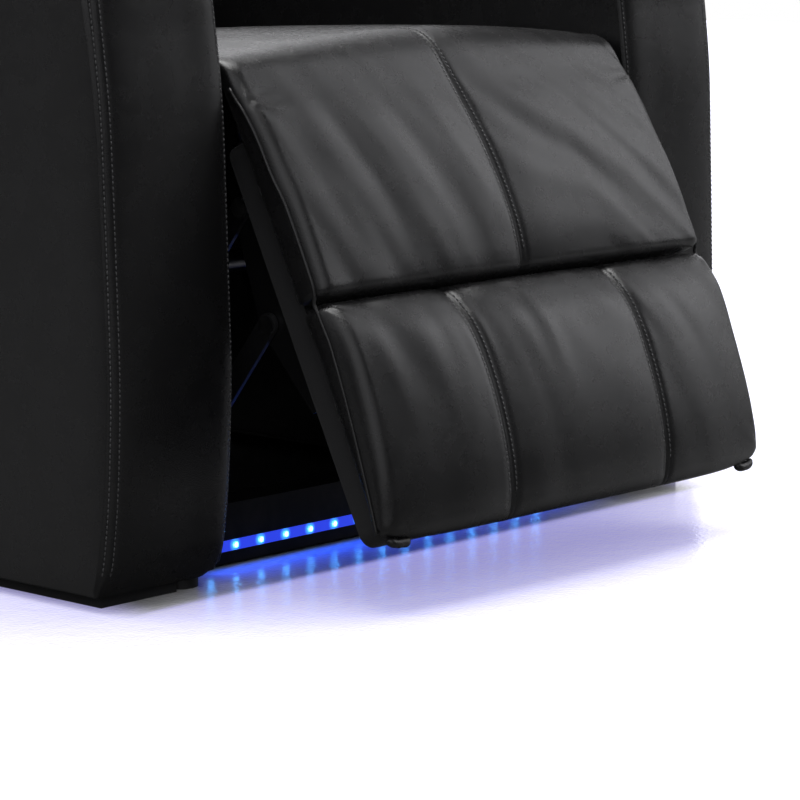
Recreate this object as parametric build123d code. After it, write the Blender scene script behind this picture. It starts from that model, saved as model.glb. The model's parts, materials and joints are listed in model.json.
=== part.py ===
from build123d import *
import math
import os

# Power recliner chair with its leg rest partly open. Lengths are in millimetres and angles in degrees.
# X runs across the chair towards the left hand of whoever sits in it, Y runs to the back and Z runs up.
# While the pieces are made, Y is 0 at the foot of the arm fronts. At the end the whole chair is moved
# so that the origin lies on the floor at the middle of its footprint.

# Arms and seat
seat_width = 562.0
arm_width = 145.0
arm_top_rise = 68.0
arm_band_rise = 120.0
arm_length = 790.0
arm_front_depth = 46.0
arm_bow = 22.0
arm_front_crown = 6.0
arm_top_crown = 12.0
arm_edge_radius = 7.0
arm_board_thickness = 12.0
arm_padding = 22.0
seat_gap = 0.3
arm_rear_thickness = 16.0
arm_lower_corner_radius = 22.0

# Floor parts
plinth_height = 12.0
plinth_side_inset = 16.0
plinth_inner_inset = 38.0
plinth_front_inset = 10.0
glide_diameter = 34.0
glide_inset = 18.0
glide_front_place = 27.0
glide_rear_inset = 40.0

# Kick rail with its row of lights
kick_front_place = 56.0
kick_height = 56.0
kick_depth = 40.0
kick_sheet = 3.0
kick_floor_gap = 2.0
kick_side_gap = 0.3
light_strip_end_gap = 31.0
light_strip_width = 10.0
light_strip_thickness = 1.2
light_strip_height = 18.6
light_count = 15
light_size = 5.0
light_thickness = 1.6

# Base frame
rail_sheet = 3.0
rail_height = 38.0
rail_width = 26.0
rail_floor_gap = 14.0
rail_front_gap = 6.0
rail_rear_inset = 30.0
front_cross_gap = 8.0
rear_cross_inset = 60.0
cross_width = 30.0
seat_front_rail_gap = 16.0
seat_rear_rail_gap = 60.0
seat_rail_width = 26.0
seat_rail_height = 30.0

# Mechanism sheets, from the arm inwards: side plate, links, cross links, footrest bracket
plate_thickness = 4.0
plate_edge_drop = 60.0
plate_arm_gap = 18.0
layer_gap = 1.0
link_thickness = 4.0
link_width = 20.0
plate_lobe_radius = 16.0
plate_hinge_lobe_radius = 20.0
plate_hole_diameter = 60.0
plate_hole_count = 4
rivet_diameter = 10.0
rivet_clearance = 0.08
rivet_head_diameter = 17.0
rivet_head_height = 2.6
rivet_head_gap = 0.3
collar_diameter = 15.0
torque_shaft_diameter = 22.0

# Leg rest: a hinge at the seat front, and a lattice of equal parallelograms behind the board
hinge_place = 25.0
hinge_height = 440.0
rest_tilt = 26.0
lattice_drop_angle = 37.7
cross_step_share = 0.25
bracket_far_share = 0.4805
bracket_far_behind = 30.0
board_front = 23.8
board_thickness = 27.0
board_low = 52.0
board_end_gap = 7.0
board_side_gap = 13.5
board_corner_radius = 14.0
bracket_flange_width = 25.0
bracket_flange_thickness = 3.0
bracket_flange_low = 72.0
bracket_flange_share = 0.6865
bracket_lobe_radius = 14.0
board_screw_diameter = 12.0
board_screw_height = 3.0
board_screw_count = 4
pad_side_gap = 10.0
pad_corner = 13.0
pad_shoulder = 39.0
seam_depth = 11.0
calf_low = 27.0
calf_share = 0.4966
calf_edge_low = 44.0
calf_edge_high = 52.0
calf_edge_crown = 7.0
calf_front_low = 52.0
calf_front_high = 58.0
calf_crown = 15.0
pad_gap = 2.0
rest_floor_gap = 47.2
foot_edge_low = 52.0
foot_edge_high = 31.0
foot_edge_crown = 5.0
foot_front_low = 60.0
foot_front_high = 42.0
foot_crown = 22.0
foot_seam_share = 0.4133

# Seat cushion, whose nose is round about the leg rest hinge
nose_radius = 49.5
nose_clearance = 1.2
nose_seam_drop = 4.5
nose_beside_seam_drop = 0.5
nose_shoulder_drop = 3.0
nose_edge_drop = 13.5
nose_lower_angle = 20.0
seat_side_gap = 2.0
seat_rear_gap = 58.0
seat_crown = 6.0
seat_rear_drop = 14.0
seat_crest_drop = 3.5
seat_rear_corner = 30.0
seat_slot_rise = 22.0
seat_slot_depth = 74.0
seat_slot_gap = 7.0
seat_front_setback = 59.0
webbing_thickness = 3.0
webbing_width = 60.0
webbing_count = 5
webbing_side_gap = 37.0

# Back
back_hinge_inset = 140.0
back_hinge_drop = 20.0
back_tilt = 14.0
back_side_gap = 4.0
back_pin_diameter = 12.0
back_pin_head_diameter = 22.0
upright_width = 20.0
upright_depth = 30.0
upright_low = -20.0
upright_high = 640.0
upright_gap = 3.0
top_rail_height = 30.0
back_board_thickness = 19.0
back_board_low = 42.0
back_board_high = 684.0
back_board_side_inset = 24.0
back_rear_thickness = 24.0
back_rear_low = 28.0
back_tongue_low = -50.0
back_tongue_gap = 6.0
back_rear_high = 722.0
back_rear_corner = 16.0
back_side_thickness = 20.0
back_top_thickness = 18.0
cushion_corner = 34.0
cushion_edge_drop = 26.0
cushion_shoulder_drop = 5.0
cushion_pinch = 10.0
cushion_gap = 4.5
lumbar_low = 136.0
lumbar_high = 338.0
lumbar_front = 118.0
lumbar_crown = 24.0
upper_high = 545.0
upper_front = 108.0
upper_crown = 18.0
pillow_high = 742.0
pillow_front = 100.0
pillow_crown = 24.0

# Drive
motor_low = 62.0
gearbox_width = 66.0
gearbox_size = 70.0
gearbox_corner_radius = 12.0
motor_diameter = 50.0
motor_length = 96.0
motor_cap_diameter = 42.0
motor_cap_length = 12.0
bracket_width = 44.0

# Control and power
switch_place = 168.0
switch_drop = 20.0
switch_length = 74.0
switch_width = 32.0
switch_thickness = 3.0
switch_corner_radius = 5.0
switch_box_room = 8.5
button_length = 22.0
button_width = 16.0
button_pitch = 32.0
button_proud = 2.2
button_gap = 0.35
button_flange = 2.0
button_flange_thickness = 2.0
button_travel = 1.5
inlet_place = 180.0
inlet_height = 110.0
inlet_diameter = 18.0
inlet_flange_diameter = 26.0
inlet_flange_thickness = 2.0
inlet_bore_diameter = 8.0
inlet_pin_diameter = 2.0
inlet_depth = 14.0

# Rear lower panel and bolts
rear_panel_inset = 28.0
rear_panel_thickness = 10.0
rear_panel_top_drop = 28.0
rear_panel_side_gap = 0.3
rear_panel_corner_radius = 12.0
bolt_head_diameter = 14.0
bolt_head_height = 4.0
washer_diameter = 19.0
washer_thickness = 1.6
bolt_gap = 0.3
cut_overrun = 5.0

# Outlines as shares: the arm front as height of arm_band_height against bow of arm_bow, and the top pad
# as length of the roll against rise from the band to the arm's top
front_bow_shares = [(0.17, 0.79), (0.34, 1.0), (0.63, 0.79), (0.92, 0.16)]
roll_depth = 52.0
roll_shares = [(0.3, 0.52), (1.0, 0.88)]
top_rear_shares = (0.82, 0.5)
# Slices across, as place against crown: the arm's top pad, one half of the seat, and one half of a back cushion
arm_top_shares = [(0, 1), (0.25, 0.25), (0.5, 0), (0.75, 0.25), (1, 1)]
seat_shares = [(0, 0), (0.125, 0.5), (0.5, 1), (0.875, 0.5), (1, 0)]
cushion_crown_shares = (1, 0.75, 0.33, 0.12)
bolt_shares = (0.15, 0.43, 0.71, 0.86)
bevel_share = 1 - math.sqrt(1 / 2)

# Places that follow from the sizes above
leg_sin = math.sin(math.radians(rest_tilt))
leg_cos = math.cos(math.radians(rest_tilt))
back_sin = math.sin(math.radians(back_tilt))
back_cos = math.cos(math.radians(back_tilt))
seat_half = seat_width / 2
arm_out = seat_half + arm_width
arm_band_height = hinge_height + arm_band_rise
arm_height = arm_band_height + arm_top_rise
plate_edge_height = hinge_height - plate_edge_drop
back_hinge_height = plate_edge_height - back_hinge_drop
back_hinge_place = arm_length - back_hinge_inset
back_half_width = seat_half - back_side_gap
seat_half_width = seat_half - seat_side_gap
seat_rear_place = back_hinge_place - seat_rear_gap
seat_slot_height = hinge_height + seat_slot_rise
seat_front_underside = hinge_place + seat_front_setback
rail_front_place = kick_front_place + rail_front_gap
rail_rear_place = arm_length - rail_rear_inset
front_cross_place = kick_front_place + kick_depth + front_cross_gap
rear_cross_place = rail_rear_place - rear_cross_inset
seat_front_rail_place = front_cross_place + seat_front_rail_gap
seat_rear_rail_place = back_hinge_place - seat_rear_rail_gap
rear_panel_place = arm_length - rear_panel_inset
rear_panel_top = back_hinge_height - rear_panel_top_drop
light_strip_length = seat_width - 2 * light_strip_end_gap
light_pitch = light_strip_length / light_count
switch_height = arm_band_height - switch_drop
rest_length = (hinge_height - rest_floor_gap) / leg_cos
calf_high = rest_length * calf_share
foot_low = calf_high + pad_gap
foot_high = rest_length
board_high = rest_length - board_end_gap
pad_half_width = seat_half - pad_side_gap
board_half_width = pad_half_width - board_side_gap
foot_seam_place = pad_half_width * foot_seam_share
cross_link_step = hinge_height * cross_step_share
bracket_far_along = rest_length * bracket_far_share
bracket_flange_high = rest_length * bracket_flange_share
plate_out = seat_half - plate_arm_gap
plate_in = plate_out - plate_thickness
link_out = plate_in - layer_gap
link_in = link_out - link_thickness
cross_out = link_in - layer_gap
cross_in = cross_out - link_thickness
bracket_out = cross_out - link_thickness - layer_gap
bracket_in = bracket_out - link_thickness
webbing_pitch = (2 * (plate_in - webbing_side_gap) - webbing_width) / (webbing_count - 1)
seat_underside = plate_edge_height + webbing_thickness
back_side_front = upright_depth / 2 + back_board_thickness
sides = (("left", 1), ("right", -1))


def leg_point(x, along, out):
    """Point on the leg rest at rest: along the board from the hinge, and out towards the pads."""
    y = hinge_place - along * leg_sin - out * leg_cos
    z = hinge_height - along * leg_cos + out * leg_sin
    return Vector(x, y, z)


def back_point(x, up, out):
    """Point on the back at rest: up from its hinge, and out towards the sitter."""
    y = back_hinge_place + up * back_sin - out * back_cos
    z = back_hinge_height + up * back_cos + out * back_sin
    return Vector(x, y, z)


def plain_point(x, y, z):
    return Vector(x, y, z)


def lattice_point(cross_steps, row_steps):
    """Pivot of the lattice: steps down the fixed cross direction, then along the turning rows."""
    drop = math.radians(lattice_drop_angle)
    start_y = hinge_place + cross_steps * cross_link_step * math.sin(drop)
    start_z = hinge_height - cross_steps * cross_link_step * math.cos(drop)
    far = leg_point(0, bracket_far_along, -bracket_far_behind)
    row_y = (far.Y - hinge_place) / 2
    row_z = (far.Z - hinge_height) / 2
    return (start_y + row_steps * row_y, start_z + row_steps * row_z)


def block(x, y, z):
    """Box between pairs of places along X, Y and Z."""
    centre = Vector((x[0] + x[1]) / 2, (y[0] + y[1]) / 2, (z[0] + z[1]) / 2)
    return Pos(centre) * Box(x[1] - x[0], y[1] - y[0], z[1] - z[0])


def leg_plane(x):
    """Plane at x whose first direction runs down the board and whose second runs out to the pads."""
    return Plane(origin=leg_point(x, 0, 0), x_dir=(0, -leg_sin, -leg_cos), z_dir=(-1, 0, 0))


def back_plane(x):
    return Plane(origin=back_point(x, 0, 0), x_dir=(0, back_sin, back_cos), z_dir=(1, 0, 0))


def leg_block(half_width, along, out, corner):
    shape = Pos((along[0] + along[1]) / 2, (out[0] + out[1]) / 2) * Rectangle(
        along[1] - along[0], out[1] - out[0]
    )
    solid = extrude(leg_plane(half_width) * shape, amount=2 * half_width)
    return fillet(solid.edges().filter_by(Axis((0, 0, 0), leg_plane(0).y_dir)), corner)


def back_block(x, up, out):
    shape = Pos((up[0] + up[1]) / 2, (out[0] + out[1]) / 2) * Rectangle(up[1] - up[0], out[1] - out[0])
    return extrude(back_plane(x[0]) * shape, amount=x[1] - x[0])


def bar_shape(start, end, width):
    """Flat bar with round ends between two places in the Y-Z plane."""
    run = math.dist(start, end)
    turn = math.degrees(math.atan2(end[1] - start[1], end[0] - start[0]))
    middle = Pos((start[0] + end[0]) / 2, (start[1] + end[1]) / 2)
    return middle * Rot(0, 0, turn) * SlotCenterToCenter(run, width)


def disc_shape(place, diameter):
    return Pos(place[0], place[1]) * Circle(diameter / 2)


def sheet(shape, x_low, x_high):
    """A Y-Z outline made solid between two places along X."""
    return extrude(Plane.YZ.offset(x_low) * shape, amount=x_high - x_low)


def rod(place, diameter, x_low, x_high):
    return sheet(disc_shape(place, diameter), x_low, x_high)


def mirrored(solid):
    return mirror(solid, about=Plane.YZ)


def angle_bar(x, y, z, sheet_thickness, wall, shelf):
    """L section along X or Y. wall and shelf name the side of the box that each leg lies on."""
    spans = {"x": list(x), "y": list(y), "z": list(z)}
    legs = []
    for side in (wall, shelf):
        leg = {axis: list(span) for axis, span in spans.items()}
        axis, end = side
        keep = leg[axis][end]
        step = sheet_thickness if end == 0 else -sheet_thickness
        leg[axis] = sorted((keep, keep + step))
        legs.append(block(leg["x"], leg["y"], leg["z"]))
    return legs[0] + legs[1]


def pad_section(point, x, low, high, rear, front_low, front_high, crown, corner):
    """One closed slice of a pad: flat rear, rounded corners and a crowned front."""
    bevel = corner * bevel_share
    middle = (low + high) / 2
    top = (front_low + front_high) / 2 + crown
    low_rear = point(x, low, rear)
    low_side = point(x, low, front_low - corner)
    low_bend = point(x, low + bevel, front_low - bevel)
    low_front = point(x, low + corner, front_low)
    crest = point(x, middle, top)
    high_front = point(x, high - corner, front_high)
    high_bend = point(x, high - bevel, front_high - bevel)
    high_side = point(x, high, front_high - corner)
    high_rear = point(x, high, rear)
    edges = [
        Edge.make_line(low_rear, low_side),
        Edge.make_three_point_arc(low_side, low_bend, low_front),
        Edge.make_three_point_arc(low_front, crest, high_front),
        Edge.make_three_point_arc(high_front, high_bend, high_side),
        Edge.make_line(high_side, high_rear),
        Edge.make_line(high_rear, low_rear),
    ]
    return Face(Wire(edges))


# Arms

def arm_front_points(extra_bow):
    """Front outline of an arm from its foot to the band's top, as places in Y and Z."""
    foot = (0, plinth_height)
    rise = arm_band_height - plinth_height
    points = [foot]
    for height_share, bow_share in front_bow_shares:
        swell = extra_bow * math.sin(math.pi * height_share / 2)
        points.append((-bow_share * arm_bow - swell, plinth_height + height_share * rise))
    points.append((arm_bow * top_share_back(), arm_band_height))
    return points


def top_share_back():
    """How far behind its foot the front meets the top pad, as a share of the bow."""
    last_height, last_bow = front_bow_shares[-1]
    before_height, before_bow = front_bow_shares[-2]
    slope = (before_bow - last_bow) / (last_height - before_height)
    return (1 - last_height) * slope - last_bow


def arm_front_section(x, extra_bow):
    points = [plain_point(x, y, z) for y, z in arm_front_points(extra_bow)]
    top_rear = plain_point(x, arm_front_depth, arm_band_height)
    foot_rear = plain_point(x, arm_front_depth, plinth_height)
    edges = [
        Edge.make_three_point_arc(points[0], points[1], points[2]),
        Edge.make_three_point_arc(points[2], points[3], points[4]),
        Edge.make_line(points[4], points[5]),
        Edge.make_line(points[5], top_rear),
        Edge.make_line(top_rear, foot_rear),
        Edge.make_line(foot_rear, points[0]),
    ]
    return Face(Wire(edges))


def arm_front_panel():
    middle = (seat_half + arm_out) / 2
    stations = [(seat_half, 0), (middle, arm_front_crown), (arm_out, 0)]
    solid = loft([arm_front_section(x, bow) for x, bow in stations])
    radius = arm_lower_corner_radius
    y = (-2 * arm_bow, arm_front_depth + cut_overrun)
    corner = block(
        (seat_half - cut_overrun, seat_half + radius),
        y,
        (plinth_height - cut_overrun, plinth_height + radius),
    )
    centre = Pos(seat_half + radius, (y[0] + y[1]) / 2, plinth_height + radius)
    return solid - (corner - centre * Rot(90, 0, 0) * Cylinder(radius, y[1] - y[0] + cut_overrun))


def arm_top_section(x, drop):
    front_y = arm_bow * top_share_back()
    rise = arm_height - drop - arm_band_height
    roll = [
        plain_point(x, front_y + roll_depth * along, arm_band_height + rise * up) for along, up in roll_shares
    ]
    rear_length, rear_rise = top_rear_shares
    start = plain_point(x, front_y, arm_band_height)
    crest = plain_point(x, arm_length / 2, arm_band_height + rise)
    rear_top = plain_point(x, arm_length - roll_depth / 2, arm_band_height + rise * rear_length)
    rear_low = plain_point(x, arm_length, arm_band_height + rise * rear_rise)
    bend_rise = rear_rise + (rear_length - rear_rise) * math.sqrt(1 / 2)
    bend_back = arm_length - roll_depth / 2 * bevel_share
    rear_bend = plain_point(x, bend_back, arm_band_height + rise * bend_rise)
    rear_foot = plain_point(x, arm_length, arm_band_height)
    edges = [
        Edge.make_three_point_arc(start, roll[0], roll[1]),
        Edge.make_three_point_arc(roll[1], crest, rear_top),
        Edge.make_three_point_arc(rear_top, rear_bend, rear_low),
        Edge.make_line(rear_low, rear_foot),
        Edge.make_line(rear_foot, start),
    ]
    return Face(Wire(edges))


def arm_top_pad():
    return loft(
        [
            arm_top_section(seat_half + arm_width * across, arm_top_crown * drop)
            for across, drop in arm_top_shares
        ]
    )


def arm_side_panels():
    """Padded sides of the arm and the rear panel, each with rounded outer edges."""
    length = (arm_front_depth, arm_length - arm_rear_thickness)
    height = (plinth_height, arm_band_height)
    inner = block((seat_half, seat_half + arm_padding), length, height)
    outer = block((arm_out - arm_padding, arm_out), length, height)
    foot_edge = outer.edges().filter_by(Axis.Y).sort_by(Axis.Z)[:2].sort_by(Axis.X)[-1]
    outer = fillet(foot_edge, arm_edge_radius)
    rear = block((seat_half, arm_out), (length[1], arm_length), height)
    rear_edges = rear.edges().filter_by(Axis.Z).sort_by(Axis.Y)[-2:]
    rear = fillet(rear_edges, arm_edge_radius)
    return inner, outer, rear


def arm_boards():
    """Two boards of one hollow arm, each against the padding of its side."""
    length = (arm_front_depth + seat_gap, arm_length - arm_rear_thickness - seat_gap)
    height = (plinth_height + seat_gap, arm_band_height - seat_gap)
    inner_face = seat_half + arm_padding + seat_gap
    outer_face = arm_out - arm_padding - seat_gap
    inner = block((inner_face, inner_face + arm_board_thickness), length, height)
    outer = block((outer_face - arm_board_thickness, outer_face), length, height)
    return [inner, outer]


def arm_plinth():
    width = (seat_half + plinth_inner_inset, arm_out - plinth_side_inset)
    return block(width, (plinth_front_inset, arm_length - plinth_front_inset), (0, plinth_height))


def add_arms(nodes):
    inner, outer, rear = arm_side_panels()
    pieces = {
        "arm_front_panel": arm_front_panel(),
        "arm_top_pad": arm_top_pad(),
        "arm_inner_panel": inner,
        "arm_outer_panel": outer,
        "arm_rear_panel": rear,
        "arm_plinth": arm_plinth(),
    }
    for name, solid in pieces.items():
        nodes["left_" + name] = solid
        nodes["right_" + name] = mirrored(solid)
    boards = arm_boards()
    nodes["arm_boards"] = Compound(children=boards + [mirrored(board) for board in boards])
    pocket_depth = button_flange + button_flange_thickness + button_travel + switch_box_room
    pocket = block(
        (-seat_half - pocket_depth, -seat_half + cut_overrun),
        (switch_place - switch_length / 2 + button_flange, switch_place + switch_length / 2 - button_flange),
        (switch_height - switch_width / 2 + button_flange, switch_height + switch_width / 2 - button_flange),
    )
    nodes["right_arm_inner_panel"] = nodes["right_arm_inner_panel"] - pocket


def add_floor_glides(nodes):
    glides = []
    for _, side in sides:
        for y in (glide_front_place, arm_length - glide_rear_inset):
            x = side * (seat_half + glide_inset)
            glides.append(Pos(x, y, plinth_height / 2) * Cylinder(glide_diameter / 2, plinth_height))
    nodes["floor_glides"] = Compound(children=glides)


# Base frame

def side_rail():
    x = (seat_half - rail_width, seat_half)
    z = (rail_floor_gap, rail_floor_gap + rail_height)
    return angle_bar(x, (rail_front_place, rail_rear_place), z, rail_sheet, ("x", 1), ("z", 0))


def cross_rail(place):
    x = (-plate_in, plate_in)
    z = (rail_floor_gap + rail_sheet, rail_floor_gap + rail_height)
    return angle_bar(x, (place, place + cross_width), z, rail_sheet, ("y", 0), ("z", 0))


def seat_rail(place, wall_end):
    x = (-plate_in, plate_in)
    z = (plate_edge_height - seat_rail_height, plate_edge_height)
    return angle_bar(x, (place, place + seat_rail_width), z, rail_sheet, ("y", wall_end), ("z", 1))


def side_plate():
    """Pressed side plate: front lobe for the leg rest hinge, rear lobe for the back hinge."""
    foot = rail_floor_gap + rail_sheet
    front = rail_front_place
    rear = back_hinge_place + plate_hinge_lobe_radius
    shoulder = hinge_height - cross_link_step - bracket_lobe_radius
    nose = plate_lobe_radius
    points = [
        (front, foot),
        (front, shoulder),
        (hinge_place - nose * math.sqrt(3) / 2, hinge_height - nose / 2),
        (hinge_place + nose * math.sqrt(3) / 2, hinge_height + nose / 2),
        (seat_front_rail_place - seat_rail_width, plate_edge_height),
        (rear - plate_hinge_lobe_radius, plate_edge_height),
        (rear, back_hinge_height),
        (rear, foot),
    ]
    shape = make_face(Polyline(*points, close=True))
    shape += disc_shape((hinge_place, hinge_height), 2 * nose)
    shape += disc_shape((back_hinge_place, back_hinge_height), 2 * plate_hinge_lobe_radius)
    hole = rivet_diameter + 2 * rivet_clearance
    for place in ((hinge_place, hinge_height), lattice_point(1, 0), lattice_point(2, 0)):
        shape -= disc_shape(place, hole)
    back_hole = back_pin_diameter + 2 * rivet_clearance
    shape -= disc_shape((back_hinge_place, back_hinge_height), back_hole)
    first = lattice_point(2, 0)[0] + plate_hole_diameter + plate_lobe_radius
    last = back_hinge_place - plate_hole_diameter
    height = (foot + plate_edge_height) / 2
    for index in range(plate_hole_count):
        place = first + (last - first) * index / (plate_hole_count - 1)
        shape -= disc_shape((place, height), plate_hole_diameter)
    return sheet(shape, plate_in, plate_out)


def kick_rail():
    """Folded channel across the front, open to the rear."""
    x = (-plate_in + kick_side_gap, plate_in - kick_side_gap)
    y = (kick_front_place, kick_front_place + kick_depth)
    z = (kick_floor_gap, kick_floor_gap + kick_height)
    body = block(x, y, z)
    inside = block(x, (y[0] + kick_sheet, y[1] + cut_overrun), (z[0] + kick_sheet, z[1] - kick_sheet))
    return body - inside


def add_lights(nodes):
    strip_front = kick_front_place - light_strip_thickness
    strip = block(
        (-light_strip_length / 2, light_strip_length / 2),
        (strip_front, kick_front_place),
        (light_strip_height - light_strip_width / 2, light_strip_height + light_strip_width / 2),
    )
    nodes["light_strip"] = strip
    chips = []
    for index in range(light_count):
        x = (index - (light_count - 1) / 2) * light_pitch
        chips.append(
            block(
                (x - light_size / 2, x + light_size / 2),
                (strip_front - light_thickness, strip_front),
                (light_strip_height - light_size / 2, light_strip_height + light_size / 2),
            )
        )
    nodes["light_chips"] = Compound(children=chips)


def bolt_places():
    """Places in Y of the bolts along a side rail."""
    spread = rail_rear_place - rail_front_place
    return [rail_front_place + spread * share for share in bolt_shares]


def add_base_frame(nodes):
    bolt_height = rail_floor_gap + rail_height / 2 + rail_sheet
    rail = side_rail()
    seat = seat_half - rail_sheet - bolt_gap
    bolts = []
    for y in bolt_places():
        place = (y, bolt_height)
        washer = rod(place, washer_diameter, seat - washer_thickness, seat)
        head = rod(place, bolt_head_diameter, seat - washer_thickness - bolt_head_height, seat)
        bolts.append(washer + head)
    plate = side_plate()
    nodes["left_side_rail"] = rail
    nodes["right_side_rail"] = mirrored(rail)
    nodes["left_side_plate"] = plate
    nodes["right_side_plate"] = mirrored(plate)
    nodes["frame_bolts"] = Compound(children=bolts + [mirrored(bolt) for bolt in bolts])
    nodes["front_cross_rail"] = cross_rail(front_cross_place)
    nodes["rear_cross_rail"] = cross_rail(rear_cross_place)
    nodes["seat_front_rail"] = seat_rail(seat_front_rail_place, 0)
    nodes["seat_rear_rail"] = seat_rail(seat_rear_rail_place, 1)
    nodes["kick_rail"] = kick_rail()


def add_rear_panel(nodes):
    x = (-seat_half + rear_panel_side_gap, seat_half - rear_panel_side_gap)
    y = (rear_panel_place, rear_panel_place + rear_panel_thickness)
    panel = block(x, y, (rail_floor_gap, rear_panel_top))
    panel = fillet(panel.edges().filter_by(Axis.Y).sort_by(Axis.Z)[-2:], rear_panel_corner_radius)
    turn = Pos(inlet_place, y[1], inlet_height) * Rot(90, 0, 0)
    hole = turn * Cylinder(inlet_diameter / 2 + bolt_gap, 2 * rear_panel_thickness + 2 * cut_overrun)
    nodes["rear_lower_panel"] = panel - hole
    flange_middle = Pos(0, 0, -inlet_flange_thickness / 2)
    flange = flange_middle * Cylinder(inlet_flange_diameter / 2, inlet_flange_thickness)
    barrel = Pos(0, 0, inlet_depth / 2) * Cylinder(inlet_diameter / 2, inlet_depth)
    bore_depth = inlet_depth - inlet_flange_thickness
    bore = Pos(0, 0, bore_depth / 2 - inlet_flange_thickness) * Cylinder(
        inlet_bore_diameter / 2, bore_depth + inlet_flange_thickness
    )
    pin = Pos(0, 0, bore_depth / 2) * Cylinder(inlet_pin_diameter / 2, bore_depth)
    nodes["power_inlet"] = turn * (flange + barrel - bore + pin)


# Seat

def seat_section(x, radius, crown):
    """Slice of the seat cushion. The nose is round about the leg rest hinge."""
    low = math.radians(nose_lower_angle)
    bend = math.radians(45 - nose_lower_angle / 2)
    top = hinge_height + radius
    rear_top = top - seat_rear_drop
    corner = seat_rear_corner
    nose_low = plain_point(x, hinge_place - radius * math.cos(low), hinge_height - radius * math.sin(low))
    nose_mid = plain_point(x, hinge_place - radius * math.cos(bend), hinge_height + radius * math.sin(bend))
    nose_top = plain_point(x, hinge_place, top)
    crest = plain_point(x, (hinge_place + seat_rear_place) / 2, top + crown - seat_crest_drop)
    rear_front = plain_point(x, seat_rear_place - corner, rear_top)
    rear_bend = plain_point(
        x,
        seat_rear_place - corner * bevel_share,
        rear_top - corner * bevel_share,
    )
    rear_side = plain_point(x, seat_rear_place, rear_top - corner)
    rear_low = plain_point(x, seat_rear_place, seat_underside)
    front_low = plain_point(x, seat_front_underside, seat_underside)
    edges = [
        Edge.make_three_point_arc(nose_low, nose_mid, nose_top),
        Edge.make_three_point_arc(nose_top, crest, rear_front),
        Edge.make_three_point_arc(rear_front, rear_bend, rear_side),
        Edge.make_line(rear_side, rear_low),
        Edge.make_line(rear_low, front_low),
        Edge.make_line(front_low, nose_low),
    ]
    return Face(Wire(edges))


def seat_cushion():
    """Two channels with a seam down the middle, with room at the sides for the hinge hardware."""
    edge = seat_half_width
    drops = (nose_seam_drop, nose_beside_seam_drop, 0, nose_shoulder_drop, nose_edge_drop)
    sections = [
        seat_section(edge * across, nose_radius - drop, seat_crown * crown)
        for (across, crown), drop in zip(seat_shares, drops)
    ]
    half = loft(sections)
    whole = half + mirrored(half)
    for _, side in sides:
        span = sorted((side * (bracket_in - seat_slot_gap), side * (edge + cut_overrun)))
        depth = (hinge_place - nose_radius - cut_overrun, hinge_place + seat_slot_depth)
        whole -= block(span, depth, (seat_underside - cut_overrun, seat_slot_height))
    return whole


def seat_webbing():
    bands = []
    for index in range(webbing_count):
        x = (index - (webbing_count - 1) / 2) * webbing_pitch
        bands.append(
            block(
                (x - webbing_width / 2, x + webbing_width / 2),
                (seat_front_rail_place, seat_rear_rail_place + seat_rail_width),
                (plate_edge_height, seat_underside),
            )
        )
    return Compound(children=bands)


# Leg rest

def pad_channels(low, high, edge, full, seams):
    """Pad across the chair with seams at the given places. edge and full hold two front faces and a crown."""
    edge_low, edge_high, edge_crown = edge
    full_low, full_high, full_crown = full

    def full_section(x):
        return pad_section(leg_point, x, low, high, board_front, full_low, full_high, full_crown, pad_corner)

    def edge_section(x):
        return pad_section(
            leg_point, x, low, high, board_front, edge_low, edge_high, edge_crown, pad_corner / 2
        )

    def seam_section(x):
        low_front = full_low - seam_depth
        high_front = full_high - seam_depth
        return pad_section(
            leg_point, x, low, high, board_front, low_front, high_front, full_crown, pad_corner / 2
        )

    stops = [-pad_half_width] + seams + [pad_half_width]
    pieces = []
    for start, end in zip(stops, stops[1:]):
        if start == -pad_half_width:
            sections = [edge_section(start), full_section(start + pad_shoulder)]
        else:
            sections = [seam_section(start), full_section(start + pad_corner)]
        sections.append(full_section((start + end) / 2))
        if end == pad_half_width:
            sections += [full_section(end - pad_shoulder), edge_section(end)]
        else:
            sections += [full_section(end - pad_corner), seam_section(end)]
        pieces.append(loft(sections))
    whole = pieces[0]
    for piece in pieces[1:]:
        whole += piece
    return whole


def calf_pad():
    edge = (calf_edge_low, calf_edge_high, calf_edge_crown)
    full = (calf_front_low, calf_front_high, calf_crown)
    pad = pad_channels(calf_low, calf_high, edge, full, [0])
    room = rod((hinge_place, hinge_height), 2 * (nose_radius + nose_clearance), -arm_out, arm_out)
    return pad - room


def foot_pad():
    edge = (foot_edge_low, foot_edge_high, foot_edge_crown)
    full = (foot_front_low, foot_front_high, foot_crown)
    return pad_channels(foot_low, foot_high, edge, full, [-foot_seam_place, foot_seam_place])


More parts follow.
